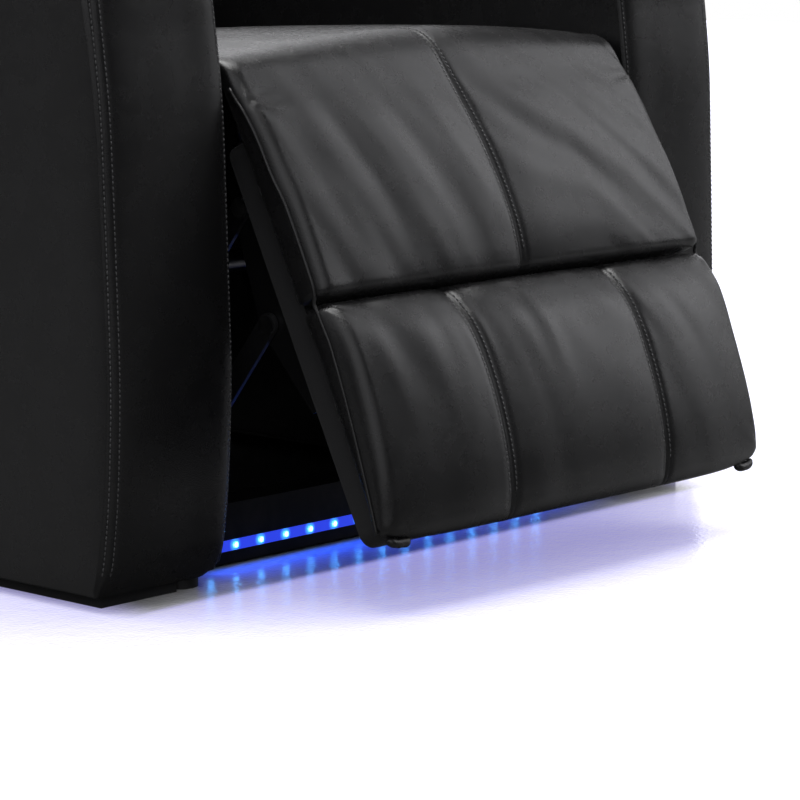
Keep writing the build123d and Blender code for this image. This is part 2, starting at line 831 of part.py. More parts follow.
def footrest_bracket():
    """Sheet bracket on the back of the board, with a flange, that carries three of the pivots."""
    hinge = (0, 0)
    middle = (bracket_far_along / 2, -bracket_far_behind / 2)
    far = (bracket_far_along, -bracket_far_behind)
    back_face = board_front - board_thickness
    lobe = bracket_lobe_radius
    web = make_face(
        Polyline(
            (0, lobe),
            (bracket_flange_low, back_face),
            (bracket_flange_high, back_face),
            (bracket_flange_high, back_face - lobe),
            (far[0], far[1] - lobe),
            (0, -lobe),
            close=True,
        )
    )
    for place in (hinge, far):
        web += disc_shape(place, 2 * lobe)
    if back_face < lobe:
        trim = Pos((board_low + board_high) / 2, back_face + lobe) * Rectangle(
            board_high - board_low + cut_overrun, 2 * lobe
        )
        web -= trim
    solid = extrude(leg_plane(bracket_out) * web, amount=link_thickness)
    flange = Pos(
        (bracket_flange_low + bracket_flange_high) / 2, back_face - bracket_flange_thickness / 2
    ) * Rectangle(bracket_flange_high - bracket_flange_low, bracket_flange_thickness)
    solid += extrude(leg_plane(bracket_in) * flange, amount=bracket_flange_width)
    hinge_pin = pin_parts((hinge_place, hinge_height), bracket_out, plate_in, plate_out)
    solid += hinge_pin
    for place in (middle, far):
        spot = leg_point(0, place[0], place[1])
        solid += pin_parts((spot.Y, spot.Z), bracket_out, cross_in, cross_out)
    return solid


def pin_parts(place, seat, hole_low, hole_high):
    """Rivet that stands on a sheet face at seat, passes a hole and ends in a head. Low to high is outwards."""
    head_face = hole_high + rivet_head_gap
    head_top = head_face + rivet_head_height
    collar = rod(place, collar_diameter, seat, hole_low - rivet_head_gap)
    shank = rod(place, rivet_diameter, seat, head_top)
    return collar + shank + rod(place, rivet_head_diameter, head_face, head_top)


def inward_pin_parts(place, seat, hole_high, hole_low):
    """The same rivet pointing to the middle of the chair."""
    head_face = hole_low - rivet_head_gap
    head_top = head_face - rivet_head_height
    collar = rod(place, collar_diameter, hole_high + rivet_head_gap, seat)
    shank = rod(place, rivet_diameter, head_top, seat)
    return collar + shank + rod(place, rivet_head_diameter, head_top, head_face)


def board_screws():
    screws = []
    back_face = board_front - board_thickness - bracket_flange_thickness
    for _, side in sides:
        for index in range(board_screw_count):
            share = (index + 1 / 2) / board_screw_count
            along = bracket_flange_low + (bracket_flange_high - bracket_flange_low) * share
            x = side * (bracket_in - bracket_flange_width / 2)
            screws.append(
                extrude(
                    Plane(origin=leg_point(x, along, back_face), z_dir=(0, leg_cos, -leg_sin))
                    * Circle(board_screw_diameter / 2),
                    amount=board_screw_height,
                )
            )
    return Compound(children=screws)


def add_leg_rest(nodes):
    depth = (board_front - board_thickness, board_front)
    nodes["footrest_board"] = leg_block(board_half_width, (board_low, board_high), depth, board_corner_radius)
    nodes["calf_pad"] = calf_pad()
    nodes["foot_pad"] = foot_pad()
    bracket = footrest_bracket()
    nodes["left_footrest_bracket"] = bracket
    nodes["right_footrest_bracket"] = mirrored(bracket)
    nodes["board_screws"] = board_screws()


# Links

def row_link(cross_steps, row_steps):
    """Link that turns with the leg rest: long when it spans two steps, a crank when it spans one."""
    start = lattice_point(cross_steps, 0)
    end = lattice_point(cross_steps, row_steps)
    solid = sheet(bar_shape(start, end, link_width), link_in, link_out)
    solid += pin_parts(start, link_out, plate_in, plate_out)
    for step in range(1, row_steps + 1):
        solid += inward_pin_parts(lattice_point(cross_steps, step), link_in, cross_out, cross_in)
    return solid


def cross_link(row_steps, first_step, last_step):
    """Link that keeps its direction. It has plain holes for the rivets of its neighbours."""
    start = lattice_point(first_step, row_steps)
    end = lattice_point(last_step, row_steps)
    shape = bar_shape(start, end, link_width)
    for step in range(first_step, last_step + 1):
        shape -= disc_shape(lattice_point(step, row_steps), rivet_diameter + 2 * rivet_clearance)
    return sheet(shape, cross_in, cross_out)


def add_links(nodes):
    pieces = {
        "long_link": row_link(1, 2),
        "crank_link": row_link(2, 1),
        "cross_link": cross_link(1, 0, 2),
        "front_link": cross_link(2, 0, 1),
    }
    for name, solid in pieces.items():
        nodes["left_" + name] = solid
        nodes["right_" + name] = mirrored(solid)
    nodes["torque_shaft"] = rod(lattice_point(2, 0), torque_shaft_diameter, -link_in, link_in)


# Drive

def add_drive(nodes):
    shaft = lattice_point(2, 0)
    running = torque_shaft_diameter + 2 * rivet_clearance
    box_x = (motor_low + link_thickness, motor_low + link_thickness + gearbox_width)
    box_y = (shaft[0] - gearbox_size / 2, shaft[0] + gearbox_size / 2)
    box_z = (shaft[1] - gearbox_size / 2, shaft[1] + gearbox_size / 2)
    box = block(box_x, box_y, box_z)
    box = fillet(box.edges().filter_by(Axis.X), gearbox_corner_radius)
    middle = (box_x[0] + box_x[1]) / 2
    turn = Pos(middle, box_y[1], shaft[1]) * Rot(-90, 0, 0)
    can = turn * Pos(0, 0, motor_length / 2) * Cylinder(motor_diameter / 2, motor_length)
    cap_place = turn * Pos(0, 0, motor_length + motor_cap_length / 2)
    cap = cap_place * Cylinder(motor_cap_diameter / 2, motor_cap_length)
    bore = rod(shaft, running, box_x[0] - cut_overrun, box_x[1] + cut_overrun)
    nodes["gear_motor"] = box + can + cap - bore
    foot_height = rail_floor_gap + 2 * rail_sheet + bracket_width / 2
    foot = (front_cross_place + rail_sheet + bracket_width / 2, foot_height)
    shape = bar_shape(foot, shaft, bracket_width)
    shape -= disc_shape(shaft, torque_shaft_diameter + 2 * layer_gap)
    nodes["motor_bracket"] = sheet(shape, motor_low, motor_low + link_thickness)


# Back

def back_cushion(low, high, front, crown):
    """Cushion of the back with drawn-in sides and a full middle."""
    edge = back_half_width
    corner = cushion_corner
    slices = [
        (0, 0, 0),
        (edge / 2, 0, 0),
        (edge - corner, 0, cushion_shoulder_drop),
        (edge, cushion_pinch, cushion_edge_drop),
    ]
    places = [(x, inset, drop, share) for (x, inset, drop), share in zip(slices, cushion_crown_shares)]
    across = [(-x, *rest) for x, *rest in reversed(places[1:])] + places
    sections = []
    for x, inset, drop, share in across:
        front_face = front - drop
        sections.append(
            pad_section(
                back_point, x, low + inset, high - inset, back_side_front, front_face, front_face,
                crown * share, corner,
            )
        )
    return loft(sections)


def add_back(nodes):
    half_depth = upright_depth / 2
    out = plate_in - upright_gap
    shape = Pos((upright_low + upright_high) / 2, 0) * Rectangle(upright_high - upright_low, upright_depth)
    upright = extrude(back_plane(out - upright_width) * shape, amount=upright_width)
    pin_place = (back_hinge_place, back_hinge_height)
    collar = rod(pin_place, back_pin_head_diameter, out, plate_in - rivet_head_gap)
    shank = rod(pin_place, back_pin_diameter, out, plate_out + rivet_head_gap + rivet_head_height)
    head = rod(
        pin_place, back_pin_head_diameter, plate_out + rivet_head_gap,
        plate_out + rivet_head_gap + rivet_head_height,
    )
    upright = upright + collar + shank + head
    nodes["left_back_upright"] = upright
    nodes["right_back_upright"] = mirrored(upright)
    inside = out - upright_width
    nodes["back_top_rail"] = back_block(
        (-inside, inside), (upright_high - top_rail_height, upright_high), (-half_depth, half_depth)
    )
    board_half = back_half_width - back_board_side_inset
    nodes["back_board"] = back_block(
        (-board_half, board_half),
        (back_board_low, back_board_high),
        (half_depth, half_depth + back_board_thickness),
    )
    depth = (-half_depth - back_rear_thickness, -half_depth)
    rear = back_block((-back_half_width, back_half_width), (back_rear_low, back_rear_high), depth)
    rear = fillet(rear.edges().filter_by(Axis((0, 0, 0), back_plane(0).y_dir)), back_rear_corner)
    tongue_half = plate_in - back_tongue_gap
    tongue_top = back_rear_low + back_rear_corner
    tongue = back_block((-tongue_half, tongue_half), (back_tongue_low, tongue_top), depth)
    nodes["back_rear_panel"] = rear + tongue
    side_x = (back_half_width - back_side_thickness, back_half_width)
    side_top = back_rear_high - back_rear_corner - back_top_thickness
    side = back_block(side_x, (back_board_low, side_top), (-half_depth, back_side_front))
    nodes["back_side_panels"] = Compound(children=[side, mirrored(side)])
    nodes["back_top_panel"] = back_block(
        (-back_half_width, back_half_width), (side_top, side_top + back_top_thickness),
        (-half_depth, back_side_front),
    )
    upper_low = lumbar_high + cushion_gap
    pillow_low = upper_high + cushion_gap
    nodes["lumbar_cushion"] = back_cushion(lumbar_low, lumbar_high, lumbar_front, lumbar_crown)
    nodes["upper_back_cushion"] = back_cushion(upper_low, upper_high, upper_front, upper_crown)
    nodes["head_pillow"] = back_cushion(pillow_low, pillow_high, pillow_front, pillow_crown)


# Control

def add_control(nodes):
    face = -seat_half
    y = (switch_place - switch_length / 2, switch_place + switch_length / 2)
    z = (switch_height - switch_width / 2, switch_height + switch_width / 2)
    plate = block((face, face + switch_thickness), y, z)
    plate = fillet(plate.edges().filter_by(Axis.X), switch_corner_radius)
    for name, step in (("open_button", -1), ("close_button", 1)):
        middle = switch_place + step * button_pitch / 2
        cap_y = (middle - button_length / 2, middle + button_length / 2)
        cap_z = (switch_height - button_width / 2, switch_height + button_width / 2)
        hole_y = (cap_y[0] - button_gap, cap_y[1] + button_gap)
        hole_z = (cap_z[0] - button_gap, cap_z[1] + button_gap)
        plate -= block((face - cut_overrun, face + switch_thickness + cut_overrun), hole_y, hole_z)
        cap = block((face - button_flange, face + switch_thickness + button_proud), cap_y, cap_z)
        flange = block(
            (face - button_flange - button_flange_thickness, face - button_flange),
            (cap_y[0] - button_flange, cap_y[1] + button_flange),
            (cap_z[0] - button_flange, cap_z[1] + button_flange),
        )
        nodes[name] = cap + flange
    nodes["switch_plate"] = plate


def build():
    nodes = {}
    add_arms(nodes)
    add_floor_glides(nodes)
    add_base_frame(nodes)
    add_lights(nodes)
    add_rear_panel(nodes)
    nodes["seat_cushion"] = seat_cushion()
    nodes["seat_webbing"] = seat_webbing()
    add_leg_rest(nodes)
    add_links(nodes)
    add_drive(nodes)
    add_back(nodes)
    add_control(nodes)
    return nodes


def origin_shift(nodes):
    """Move that puts the middle of the chair's footprint on the origin."""
    boxes = [solid.bounding_box() for solid in nodes.values()]
    low = min(box.min.Y for box in boxes)
    high = max(box.max.Y for box in boxes)
    return Pos(0, -(low + high) / 2, 0)


if __name__ == "__main__":
    os.makedirs("parts", exist_ok=True)
    chair = build()
    shift = origin_shift(chair)
    for name, solid in chair.items():
        export_step(shift * solid, os.path.join("parts", name + ".step"))
    print("moved along Y by", round(shift.position.Y, 3))
    print("pieces", len(chair))
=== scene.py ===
import json
import math

import bmesh
import bpy
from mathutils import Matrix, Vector, noise


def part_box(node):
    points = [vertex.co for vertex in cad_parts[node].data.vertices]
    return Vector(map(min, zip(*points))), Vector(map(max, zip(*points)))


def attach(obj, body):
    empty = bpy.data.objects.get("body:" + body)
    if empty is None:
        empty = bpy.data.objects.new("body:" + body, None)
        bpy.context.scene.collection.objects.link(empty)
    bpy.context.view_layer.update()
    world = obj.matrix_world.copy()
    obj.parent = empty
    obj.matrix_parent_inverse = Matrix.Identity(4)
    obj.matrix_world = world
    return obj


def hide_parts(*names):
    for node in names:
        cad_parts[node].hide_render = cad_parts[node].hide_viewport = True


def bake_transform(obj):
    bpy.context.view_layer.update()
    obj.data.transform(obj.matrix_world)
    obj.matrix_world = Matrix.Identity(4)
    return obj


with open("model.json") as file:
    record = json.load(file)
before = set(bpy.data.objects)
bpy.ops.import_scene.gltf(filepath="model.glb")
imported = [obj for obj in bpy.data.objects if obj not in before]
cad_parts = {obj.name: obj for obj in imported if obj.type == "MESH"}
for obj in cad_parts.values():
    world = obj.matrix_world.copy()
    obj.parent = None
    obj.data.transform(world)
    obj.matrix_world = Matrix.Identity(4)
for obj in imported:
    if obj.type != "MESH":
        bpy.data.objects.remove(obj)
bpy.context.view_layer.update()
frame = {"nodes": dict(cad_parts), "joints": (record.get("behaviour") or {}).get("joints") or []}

bl_info = {
    "name": "Power Recliner Chair",
    "version": (1, 0, 0),
    "blender": (4, 5, 0),
    "location": "View3D > Sidebar > Recliner",
    "description": "Leather covers, seams, metal parts, lamps and studio of a power recliner chair",
    "category": "Object",
}

# Lengths are in metres, in the frame's own axes: X to the sitter's left, Y to the back, Z up.
NODES = frame["nodes"]
JOINTS = {joint["name"]: joint for joint in frame["joints"]}
SIDES = (("left", 1), ("right", -1))


def joint_place(name):
    return Vector(JOINTS[name]["pos_m"])


# Places and sizes, most of them read from the frame
HINGE = joint_place("leg_rest_hinge")
BACK_HINGE = joint_place("back_hinge")
REST_TILT = math.radians(26)
BACK_TILT = math.radians(14)
SEAT_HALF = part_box("left_arm_front_panel")[0].x
ARM_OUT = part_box("left_arm_front_panel")[1].x
ARM_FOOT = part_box("left_arm_front_panel")[0].z
ARM_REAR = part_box("left_arm_rear_panel")[1].y
ARM_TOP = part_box("left_arm_top_pad")[1].z
FOOT_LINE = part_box("left_arm_plinth")[0].y - 0.010
SEAT_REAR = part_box("seat_cushion")[1].y
SEAT_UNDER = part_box("seat_cushion")[0].z
FRONT_RAIL_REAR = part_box("seat_front_rail")[0].y
LAMP_COUNT = 15
LAMP_HALF = 0.0025
LAMP_CORE = 0.0019
LAMP_EDGE = 0.0029
GLOW_CORE = 0.0028
GLOW_EDGE = 0.0080
THREAD_SIDES = 6
THREAD_STEPS = 4
# Front of the painted shade on the floor under the chair
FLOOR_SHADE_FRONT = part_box("kick_rail")[0].y - 0.085


# Places on the moving parts

def leg_place(x, along, out):
    """Point on the leg rest: along it from its hinge, and out from its board towards the pads."""
    y = -along * math.sin(REST_TILT) - out * math.cos(REST_TILT)
    z = -along * math.cos(REST_TILT) + out * math.sin(REST_TILT)
    return Vector((x, HINGE.y + y, HINGE.z + z))


def back_place(x, up, out):
    """Point on the back: up from its hinge, and out towards the sitter."""
    y = up * math.sin(BACK_TILT) - out * math.cos(BACK_TILT)
    z = up * math.cos(BACK_TILT) + out * math.sin(BACK_TILT)
    return Vector((x, BACK_HINGE.y + y, BACK_HINGE.z + z))


# Curves and mesh making

def smooth_line(points, place):
    """Value at a place on a smooth curve through (place, value) points."""
    if place <= points[0][0]:
        return points[0][1]
    if place >= points[-1][0]:
        return points[-1][1]
    index = max(i for i, point in enumerate(points) if point[0] <= place)
    index = min(index, len(points) - 2)
    (x0, y0), (x1, y1) = points[index], points[index + 1]
    before = points[index - 1] if index else points[index]
    after = points[index + 2] if index + 2 < len(points) else points[index + 1]
    slope0 = (y1 - before[1]) / (x1 - before[0])
    slope1 = (after[1] - y0) / (after[0] - x0)
    width = x1 - x0
    t = (place - x0) / width
    t2, t3 = t * t, t * t * t
    return (
        y0 * (2 * t3 - 3 * t2 + 1) + y1 * (3 * t2 - 2 * t3)
        + width * (slope0 * (t3 - 2 * t2 + t) + slope1 * (t3 - t2))
    )


def stations(low, high, step, fine=(), fine_step=0.0015):
    """Places from low to high at about one step, and closer in the (place, half width) spans of fine."""
    count = max(2, round((high - low) / step))
    places = [low + (high - low) * i / count for i in range(count + 1)]
    for middle, half in fine:
        start, end = max(low, middle - half), min(high, middle + half)
        places = [p for p in places if not start < p < end]
        near = max(2, round((end - start) / fine_step))
        places += [start + (end - start) * i / near for i in range(near + 1)]
    places.sort()
    kept = [places[0]]
    for place in places[1:]:
        if place - kept[-1] > fine_step / 3:
            kept.append(place)
    kept[-1] = high
    return kept


def clamp(value, low=0, high=1):
    return min(max(value, low), high)


def spread(low, high, count, power=1.0):
    """Places from low to just short of high: count of them, and even unless a power is given."""
    return [low + (high - low) * (i / count) ** power for i in range(count)]


def gauss(distance, width):
    return math.exp(-((distance / width) ** 2))


def ripple(a, b, across, along, seed):
    """Soft folds that are narrow in one direction and long in the other, between -1 and 1."""
    return noise.noise(Vector((a / across, b / along, seed)))


def new_object(name, vertices, faces, material):
    mesh = bpy.data.meshes.new(name)
    mesh.from_pydata([tuple(v) for v in vertices], [], faces)
    mesh.validate()
    mesh.polygons.foreach_set("use_smooth", [True] * len(mesh.polygons))
    mesh.materials.append(material)
    made = bmesh.new()
    made.from_mesh(mesh)
    bmesh.ops.recalc_face_normals(made, faces=made.faces)
    made.to_mesh(mesh)
    made.free()
    piece = bpy.data.objects.new(name, mesh)
    bpy.context.scene.collection.objects.link(piece)
    return piece


def rounded_block(name, across, down, deep, radii, shape, material):
    """Closed block on three lists of stations, with round edges, that shape() sends to its place."""
    lows = (across[0], down[0], deep[0])
    highs = (across[-1], down[-1], deep[-1])
    lists = (across, down, deep)
    ends = tuple(len(stops) - 1 for stops in lists)
    index_of = {}
    vertices = []

    def vertex(i, j, k):
        key = (i, j, k)
        if key not in index_of:
            point = (across[i], down[j], deep[k])
            core = [clamp(v, lo + r, hi - r) for v, lo, hi, r in zip(point, lows, highs, radii)]
            away = Vector([(v - c) / r for v, c, r in zip(point, core, radii)])
            if away.length > 1e-9:
                away.normalize()
            index_of[key] = len(vertices)
            vertices.append(shape(*[c + r * a for c, r, a in zip(core, radii, away)]))
        return index_of[key]

    def face(corner, first, second):
        """Face that runs one station along two of the three directions."""
        steps = ((0, 0), (1, 0), (1, 1), (0, 1))
        return [vertex(*[c + a * f + b * s for c, f, s in zip(corner, first, second)]) for a, b in steps]

    faces = []
    for i in range(ends[0]):
        for j in range(ends[1]):
            faces += [face((i, j, k), (1, 0, 0), (0, 1, 0)) for k in (0, ends[2])]
        for k in range(ends[2]):
            faces += [face((i, j, k), (1, 0, 0), (0, 0, 1)) for j in (0, ends[1])]
    for j in range(ends[1]):
        for k in range(ends[2]):
            faces += [face((i, j, k), (0, 1, 0), (0, 0, 1)) for i in (0, ends[0])]
    return new_object(name, vertices, faces, material)


def ring(centre, side, other, radius, sides):
    """Points of a circle in the plane of two directions."""
    turns = [2 * math.pi * s / sides for s in range(sides)]
    return [centre + radius * (math.cos(turn) * side + math.sin(turn) * other) for turn in turns]


def ring_faces(first, second, count):
    """Faces between two rings of vertices, given the number at which each starts."""
    pairs = [(k, (k + 1) % count) for k in range(count)]
    return [(first + k, first + m, second + m, second + k) for k, m in pairs]


def end_faces(first, last, sides):
    return [tuple(range(first, first + sides)), tuple(reversed(range(last, last + sides)))]


def tube(name, path, radius, material, sides=10):
    """Round bead along a list of points."""
    vertices, faces = [], []
    for i, point in enumerate(path):
        ahead = path[min(i + 1, len(path) - 1)] - path[max(i - 1, 0)]
        side = ahead.cross(Vector((1, 0, 0))).normalized()
        vertices += ring(point, side, ahead.normalized().cross(side), radius, sides)
    last = len(vertices) - sides
    for first in range(0, last, sides):
        faces += ring_faces(first, first + sides, sides)
    return new_object(name, vertices, faces + end_faces(0, last, sides), material)


def stitches(name, rows, settings, material):
    """Threads along rows of (point, normal): each one dips into the leather at both its ends."""
    vertices, faces = [], []
    for row in rows:
        lengths = [0.0]
        for (a, _), (b, _) in zip(row, row[1:]):
            lengths.append(lengths[-1] + (b - a).length)
        for n in range(int(lengths[-1] / settings.stitch_pitch)):
            middle = (n + 0.5) * settings.stitch_pitch
            index = max(i for i, length in enumerate(lengths) if length <= middle)
            index = min(index, len(row) - 2)
            share = (middle - lengths[index]) / max(lengths[index + 1] - lengths[index], 1e-9)
            point = row[index][0].lerp(row[index + 1][0], share)
            up = row[index][1]
            ahead = (row[index + 1][0] - row[index][0]).normalized()
            side = up.cross(ahead).normalized()
            start = len(vertices)
            for step in range(THREAD_STEPS + 1):
                t = step / THREAD_STEPS * 2 - 1
                thick = settings.stitch_width / 2 * (1 - 0.45 * t * t)
                centre = point + ahead * t * settings.stitch_length / 2 + up * thick * (0.5 - 1.5 * t * t)
                vertices += ring(centre, side, up, thick, THREAD_SIDES)
            last = len(vertices) - THREAD_SIDES
            for first in range(start, last, THREAD_SIDES):
                faces += ring_faces(first, first + THREAD_SIDES, THREAD_SIDES)
            faces += end_faces(start, last, THREAD_SIDES)
    return new_object(name, vertices, faces, material)


def surface_row(surface, places):
    """Row of (point, normal) on a surface given as a function of two places."""
    step = 0.0008
    row = []
    for a, b in places:
        along = surface(a + step, b) - surface(a - step, b)
        across = surface(a, b + step) - surface(a, b - step)
        row.append((surface(a, b), along.cross(across).normalized()))
    middle, normal = row[len(row) // 2]
    if normal.dot(middle - Vector((0, 0.05, 0.25))) < 0:
        row = [(point, -normal) for point, normal in row]
    return row


# Shader nodes

def add_node(tree, kind, inputs=(), **options):
    """New node with its options, and a value or a link on each input that is named or numbered."""
    node = tree.nodes.new("ShaderNode" + kind)
    for name, value in options.items():
        setattr(node, name, value)
    for key, value in dict(inputs).items():
        if isinstance(value, bpy.types.NodeSocket):
            tree.links.new(value, node.inputs[key])
        else:
            node.inputs[key].default_value = value
    return node


def math_node(tree, operation, *values):
    return add_node(tree, "Math", enumerate(values), operation=operation).outputs[0]


def noise_node(tree, vector, scale, detail=2.0, roughness=0.5):
    inputs = {"Scale": scale, "Detail": detail, "Roughness": roughness, "Vector": vector}
    return add_node(tree, "TexNoise", inputs).outputs["Fac"]


def ramp_node(tree, value, low, high, soft=False):
    """Value stretched so that low becomes 0 and high becomes 1."""
    inputs = {"From Min": low, "From Max": high, "Value": value}
    kind = "SMOOTHSTEP" if soft else "LINEAR"
    return add_node(tree, "MapRange", inputs, interpolation_type=kind).outputs["Result"]


def split_node(tree, vector):
    return add_node(tree, "SeparateXYZ", {0: vector}).outputs


def scaled_vector(tree, vector, scale):
    return add_node(tree, "VectorMath", {0: vector, "Scale": scale}, operation="SCALE").outputs[0]


def stretched_vector(tree, vector, scale):
    return add_node(tree, "Mapping", {"Scale": scale, "Vector": vector}).outputs["Vector"]


# Node groups that several materials share

class GroupMaker:
    """A new node group with its own coordinates and, if it has one, a size."""

    def __init__(self, name, outputs, size=None):
        self.tree = bpy.data.node_groups.new(name, "ShaderNodeTree")
        face = self.tree.interface
        face.new_socket(name="Vector", in_out="INPUT", socket_type="NodeSocketVector")
        if size:
            label, value = size
            face.new_socket(name=label, in_out="INPUT", socket_type="NodeSocketFloat").default_value = value
        for label in outputs:
            face.new_socket(name=label, in_out="OUTPUT", socket_type="NodeSocketFloat")
        start = self.tree.nodes.new("NodeGroupInput")
        self.end = self.tree.nodes.new("NodeGroupOutput")
        self.vector = start.outputs["Vector"]
        self.size = start.outputs[1]

    def give(self, label, value):
        self.tree.links.new(value, self.end.inputs[label])


def make_leather_grain():
    """Pebbled hide: small cells with creases between them, on broad soft variation."""
    group = GroupMaker("Leather grain", ("Height", "Tone", "Wear"), ("Cells per Metre", 620.0))
    tree = group.tree
    bent = scaled_vector(tree, group.vector, group.size)
    cells = add_node(tree, "TexVoronoi", {"Scale": 1.0, "Vector": bent}, feature="DISTANCE_TO_EDGE")
    edge = ramp_node(tree, cells.outputs["Distance"], 0.0, 0.22)
    fine = noise_node(tree, bent, 2.6, 3.0)
    broad = noise_node(tree, group.vector, 14.0, 3.0)
    patches = noise_node(tree, group.vector, 34.0, 5.0, 0.6)
    group.give("Height", math_node(tree, "MULTIPLY_ADD", fine, 0.35, edge))
    group.give("Tone", math_node(tree, "MULTIPLY", edge, broad))
    group.give("Wear", ramp_node(tree, patches, 0.42, 0.75))


def make_fine_texture():
    """Fine even texture of moulded plastic or powder coat."""
    group = GroupMaker("Fine texture", ("Height", "Blotch"), ("Size", 900.0))
    vector = scaled_vector(group.tree, group.vector, group.size)
    group.give("Height", noise_node(group.tree, vector, 1.0, 2.0))
    group.give("Blotch", noise_node(group.tree, group.vector, 22.0, 4.0))


def make_dust_and_wear():
    """Dust that lies on upward faces, and rubbed places on edges."""
    group = GroupMaker("Dust and wear", ("Dust", "Rubbed"))
    tree = group.tree
    surface = add_node(tree, "NewGeometry").outputs
    upward = ramp_node(tree, split_node(tree, surface["Normal"])["Z"], 0.3, 1.0)
    speckle = ramp_node(tree, noise_node(tree, group.vector, 160.0, 4.0), 0.45, 0.8)
    edge = ramp_node(tree, surface["Pointiness"], 0.52, 0.62)
    patch = ramp_node(tree, noise_node(tree, group.vector, 60.0, 3.0), 0.4, 0.7)
    group.give("Dust", math_node(tree, "MULTIPLY", upward, speckle))
    group.give("Rubbed", math_node(tree, "MULTIPLY", edge, patch))


def make_lamp_distance():
    """Distance on the rail's face from the middle of the nearest lamp, in metres."""
    group = GroupMaker("Lamp distance", ("Distance",))
    tree = group.tree
    low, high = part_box("light_chips")
    pitch = (high.x - low.x - 2 * LAMP_HALF) / (LAMP_COUNT - 1)
    place = split_node(tree, group.vector)
    steps = math_node(tree, "DIVIDE", math_node(tree, "SUBTRACT", place["X"], low.x + LAMP_HALF), pitch)
    sideways = math_node(tree, "MULTIPLY", math_node(tree, "PINGPONG", steps, 0.5), pitch)
    upward = math_node(tree, "SUBTRACT", place["Z"], (low.z + high.z) / 2)
    square = math_node(tree, "MULTIPLY", sideways, sideways)
    group.give("Distance", math_node(tree, "SQRT", math_node(tree, "MULTIPLY_ADD", upward, upward, square)))


# Materials

class Maker:
    """A new material with its shader and its object coordinates."""

    def __init__(self, name):
        self.material = bpy.data.materials.new(name)
        self.material.use_nodes = True
        self.tree = self.material.node_tree
        self.shader = self.tree.nodes["Principled BSDF"]
        self.vector = add_node(self.tree, "TexCoord").outputs["Object"]

    def group(self, name, **values):
        """Outputs of a shared group that is placed in this material with its own values."""
        inputs = {label.replace("_", " "): value for label, value in values.items()}
        inputs["Vector"] = self.vector
        return add_node(self.tree, "Group", inputs, node_tree=bpy.data.node_groups[name]).outputs

    def set(self, **values):
        for label, value in values.items():
            self.shader.inputs[label.replace("_", " ")].default_value = value

    def link(self, source, to):
        self.tree.links.new(source, self.shader.inputs[to])

    def blend(self, factor, first, second, to="Base Color"):
        colours = [(*value, 1.0) if isinstance(value, tuple) else value for value in (first, second)]
        inputs = {"Factor": factor, "A": colours[0], "B": colours[1]}
        mixed = add_node(self.tree, "Mix", inputs, data_type="RGBA").outputs["Result"]
        if to:
            self.link(mixed, to)
        return mixed

    def part(self, source, share):
        return math_node(self.tree, "MULTIPLY", source, share)

    def rough(self, source, low, high):
        inputs = {"To Min": low, "To Max": high, "Value": source}
        self.link(add_node(self.tree, "MapRange", inputs).outputs["Result"], "Roughness")

    def bump(self, height, strength, distance):
        inputs = {"Strength": strength, "Distance": distance, "Height": height}
        self.link(add_node(self.tree, "Bump", inputs).outputs["Normal"], "Normal")


def scaled_colour(colour, factor, added=0.0):
    return tuple(factor * c + added for c in colour)


def make_leather(settings):
    made = Maker("Black leather")
    grain = made.group("Leather grain", Cells_per_Metre=1 / settings.grain_size)
    dark = tuple(settings.colour)
    tone = made.blend(grain["Tone"], scaled_colour(dark, 0.55), dark, to=None)
    made.blend(made.part(grain["Wear"], 0.35), tone, scaled_colour(dark, 1.6, 0.002))
    made.rough(grain["Wear"], settings.roughness - 0.02, settings.roughness + 0.05)
    made.bump(grain["Height"], 0.2, 0.0004)
    made.set(Specular_IOR_Level=0.5, Sheen_Weight=0.03, Sheen_Roughness=0.6)


def make_coated_steel():
    made = Maker("Black coated steel")
    texture = made.group("Fine texture", Size=700.0)
    wear = made.group("Dust and wear")
    base = made.blend(texture["Blotch"], (0.0035, 0.0035, 0.004), (0.0055, 0.0055, 0.006), to=None)
    dusty = made.blend(made.part(wear["Dust"], 0.05), base, (0.1, 0.095, 0.09), to=None)
    made.blend(made.part(wear["Rubbed"], 0.05), dusty, (0.2, 0.19, 0.18))
    made.rough(texture["Blotch"], 0.4, 0.48)
    made.bump(texture["Height"], 0.25, 0.0003)
    made.set(Specular_IOR_Level=0.25)


def make_zinc_steel():
    made = Maker("Zinc plated steel")
    wear = made.group("Dust and wear")
    lines = noise_node(made.tree, stretched_vector(made.tree, made.vector, (900.0, 900.0, 60.0)), 1.0, 3.0)
    base = made.blend(lines, (0.2, 0.2, 0.21), (0.34, 0.34, 0.36), to=None)
    made.blend(made.part(wear["Dust"], 0.5), base, (0.12, 0.115, 0.11))
    made.rough(lines, 0.26, 0.42)
    made.bump(lines, 0.12, 0.0002)
    made.set(Metallic=1.0)


def make_plywood():
    made = Maker("Plywood")
    wear = made.group("Dust and wear")
    grain = noise_node(made.tree, stretched_vector(made.tree, made.vector, (60.0, 9.0, 60.0)), 1.0, 5.0, 0.6)
    base = made.blend(grain, (0.33, 0.21, 0.11), (0.62, 0.46, 0.29), to=None)
    made.blend(wear["Rubbed"], base, (0.2, 0.12, 0.06))
    made.rough(grain, 0.55, 0.75)
    made.bump(grain, 0.2, 0.0004)


def make_cloth(name, size, low, high, bump, **shine):
    """Thread or lining cloth: darker in the hollows of its fine texture."""
    made = Maker(name)
    texture = made.group("Fine texture", Size=size)
    made.blend(texture["Height"], low, high)
    made.bump(texture["Height"], *bump)
    made.set(**shine)


def make_plastic(name, low, high, roughness):
    made = Maker(name)
    texture = made.group("Fine texture", Size=1100.0)
    made.blend(texture["Blotch"], low, high)
    made.rough(texture["Blotch"], roughness - 0.05, roughness + 0.07)
    made.bump(texture["Height"], 0.2, 0.0002)


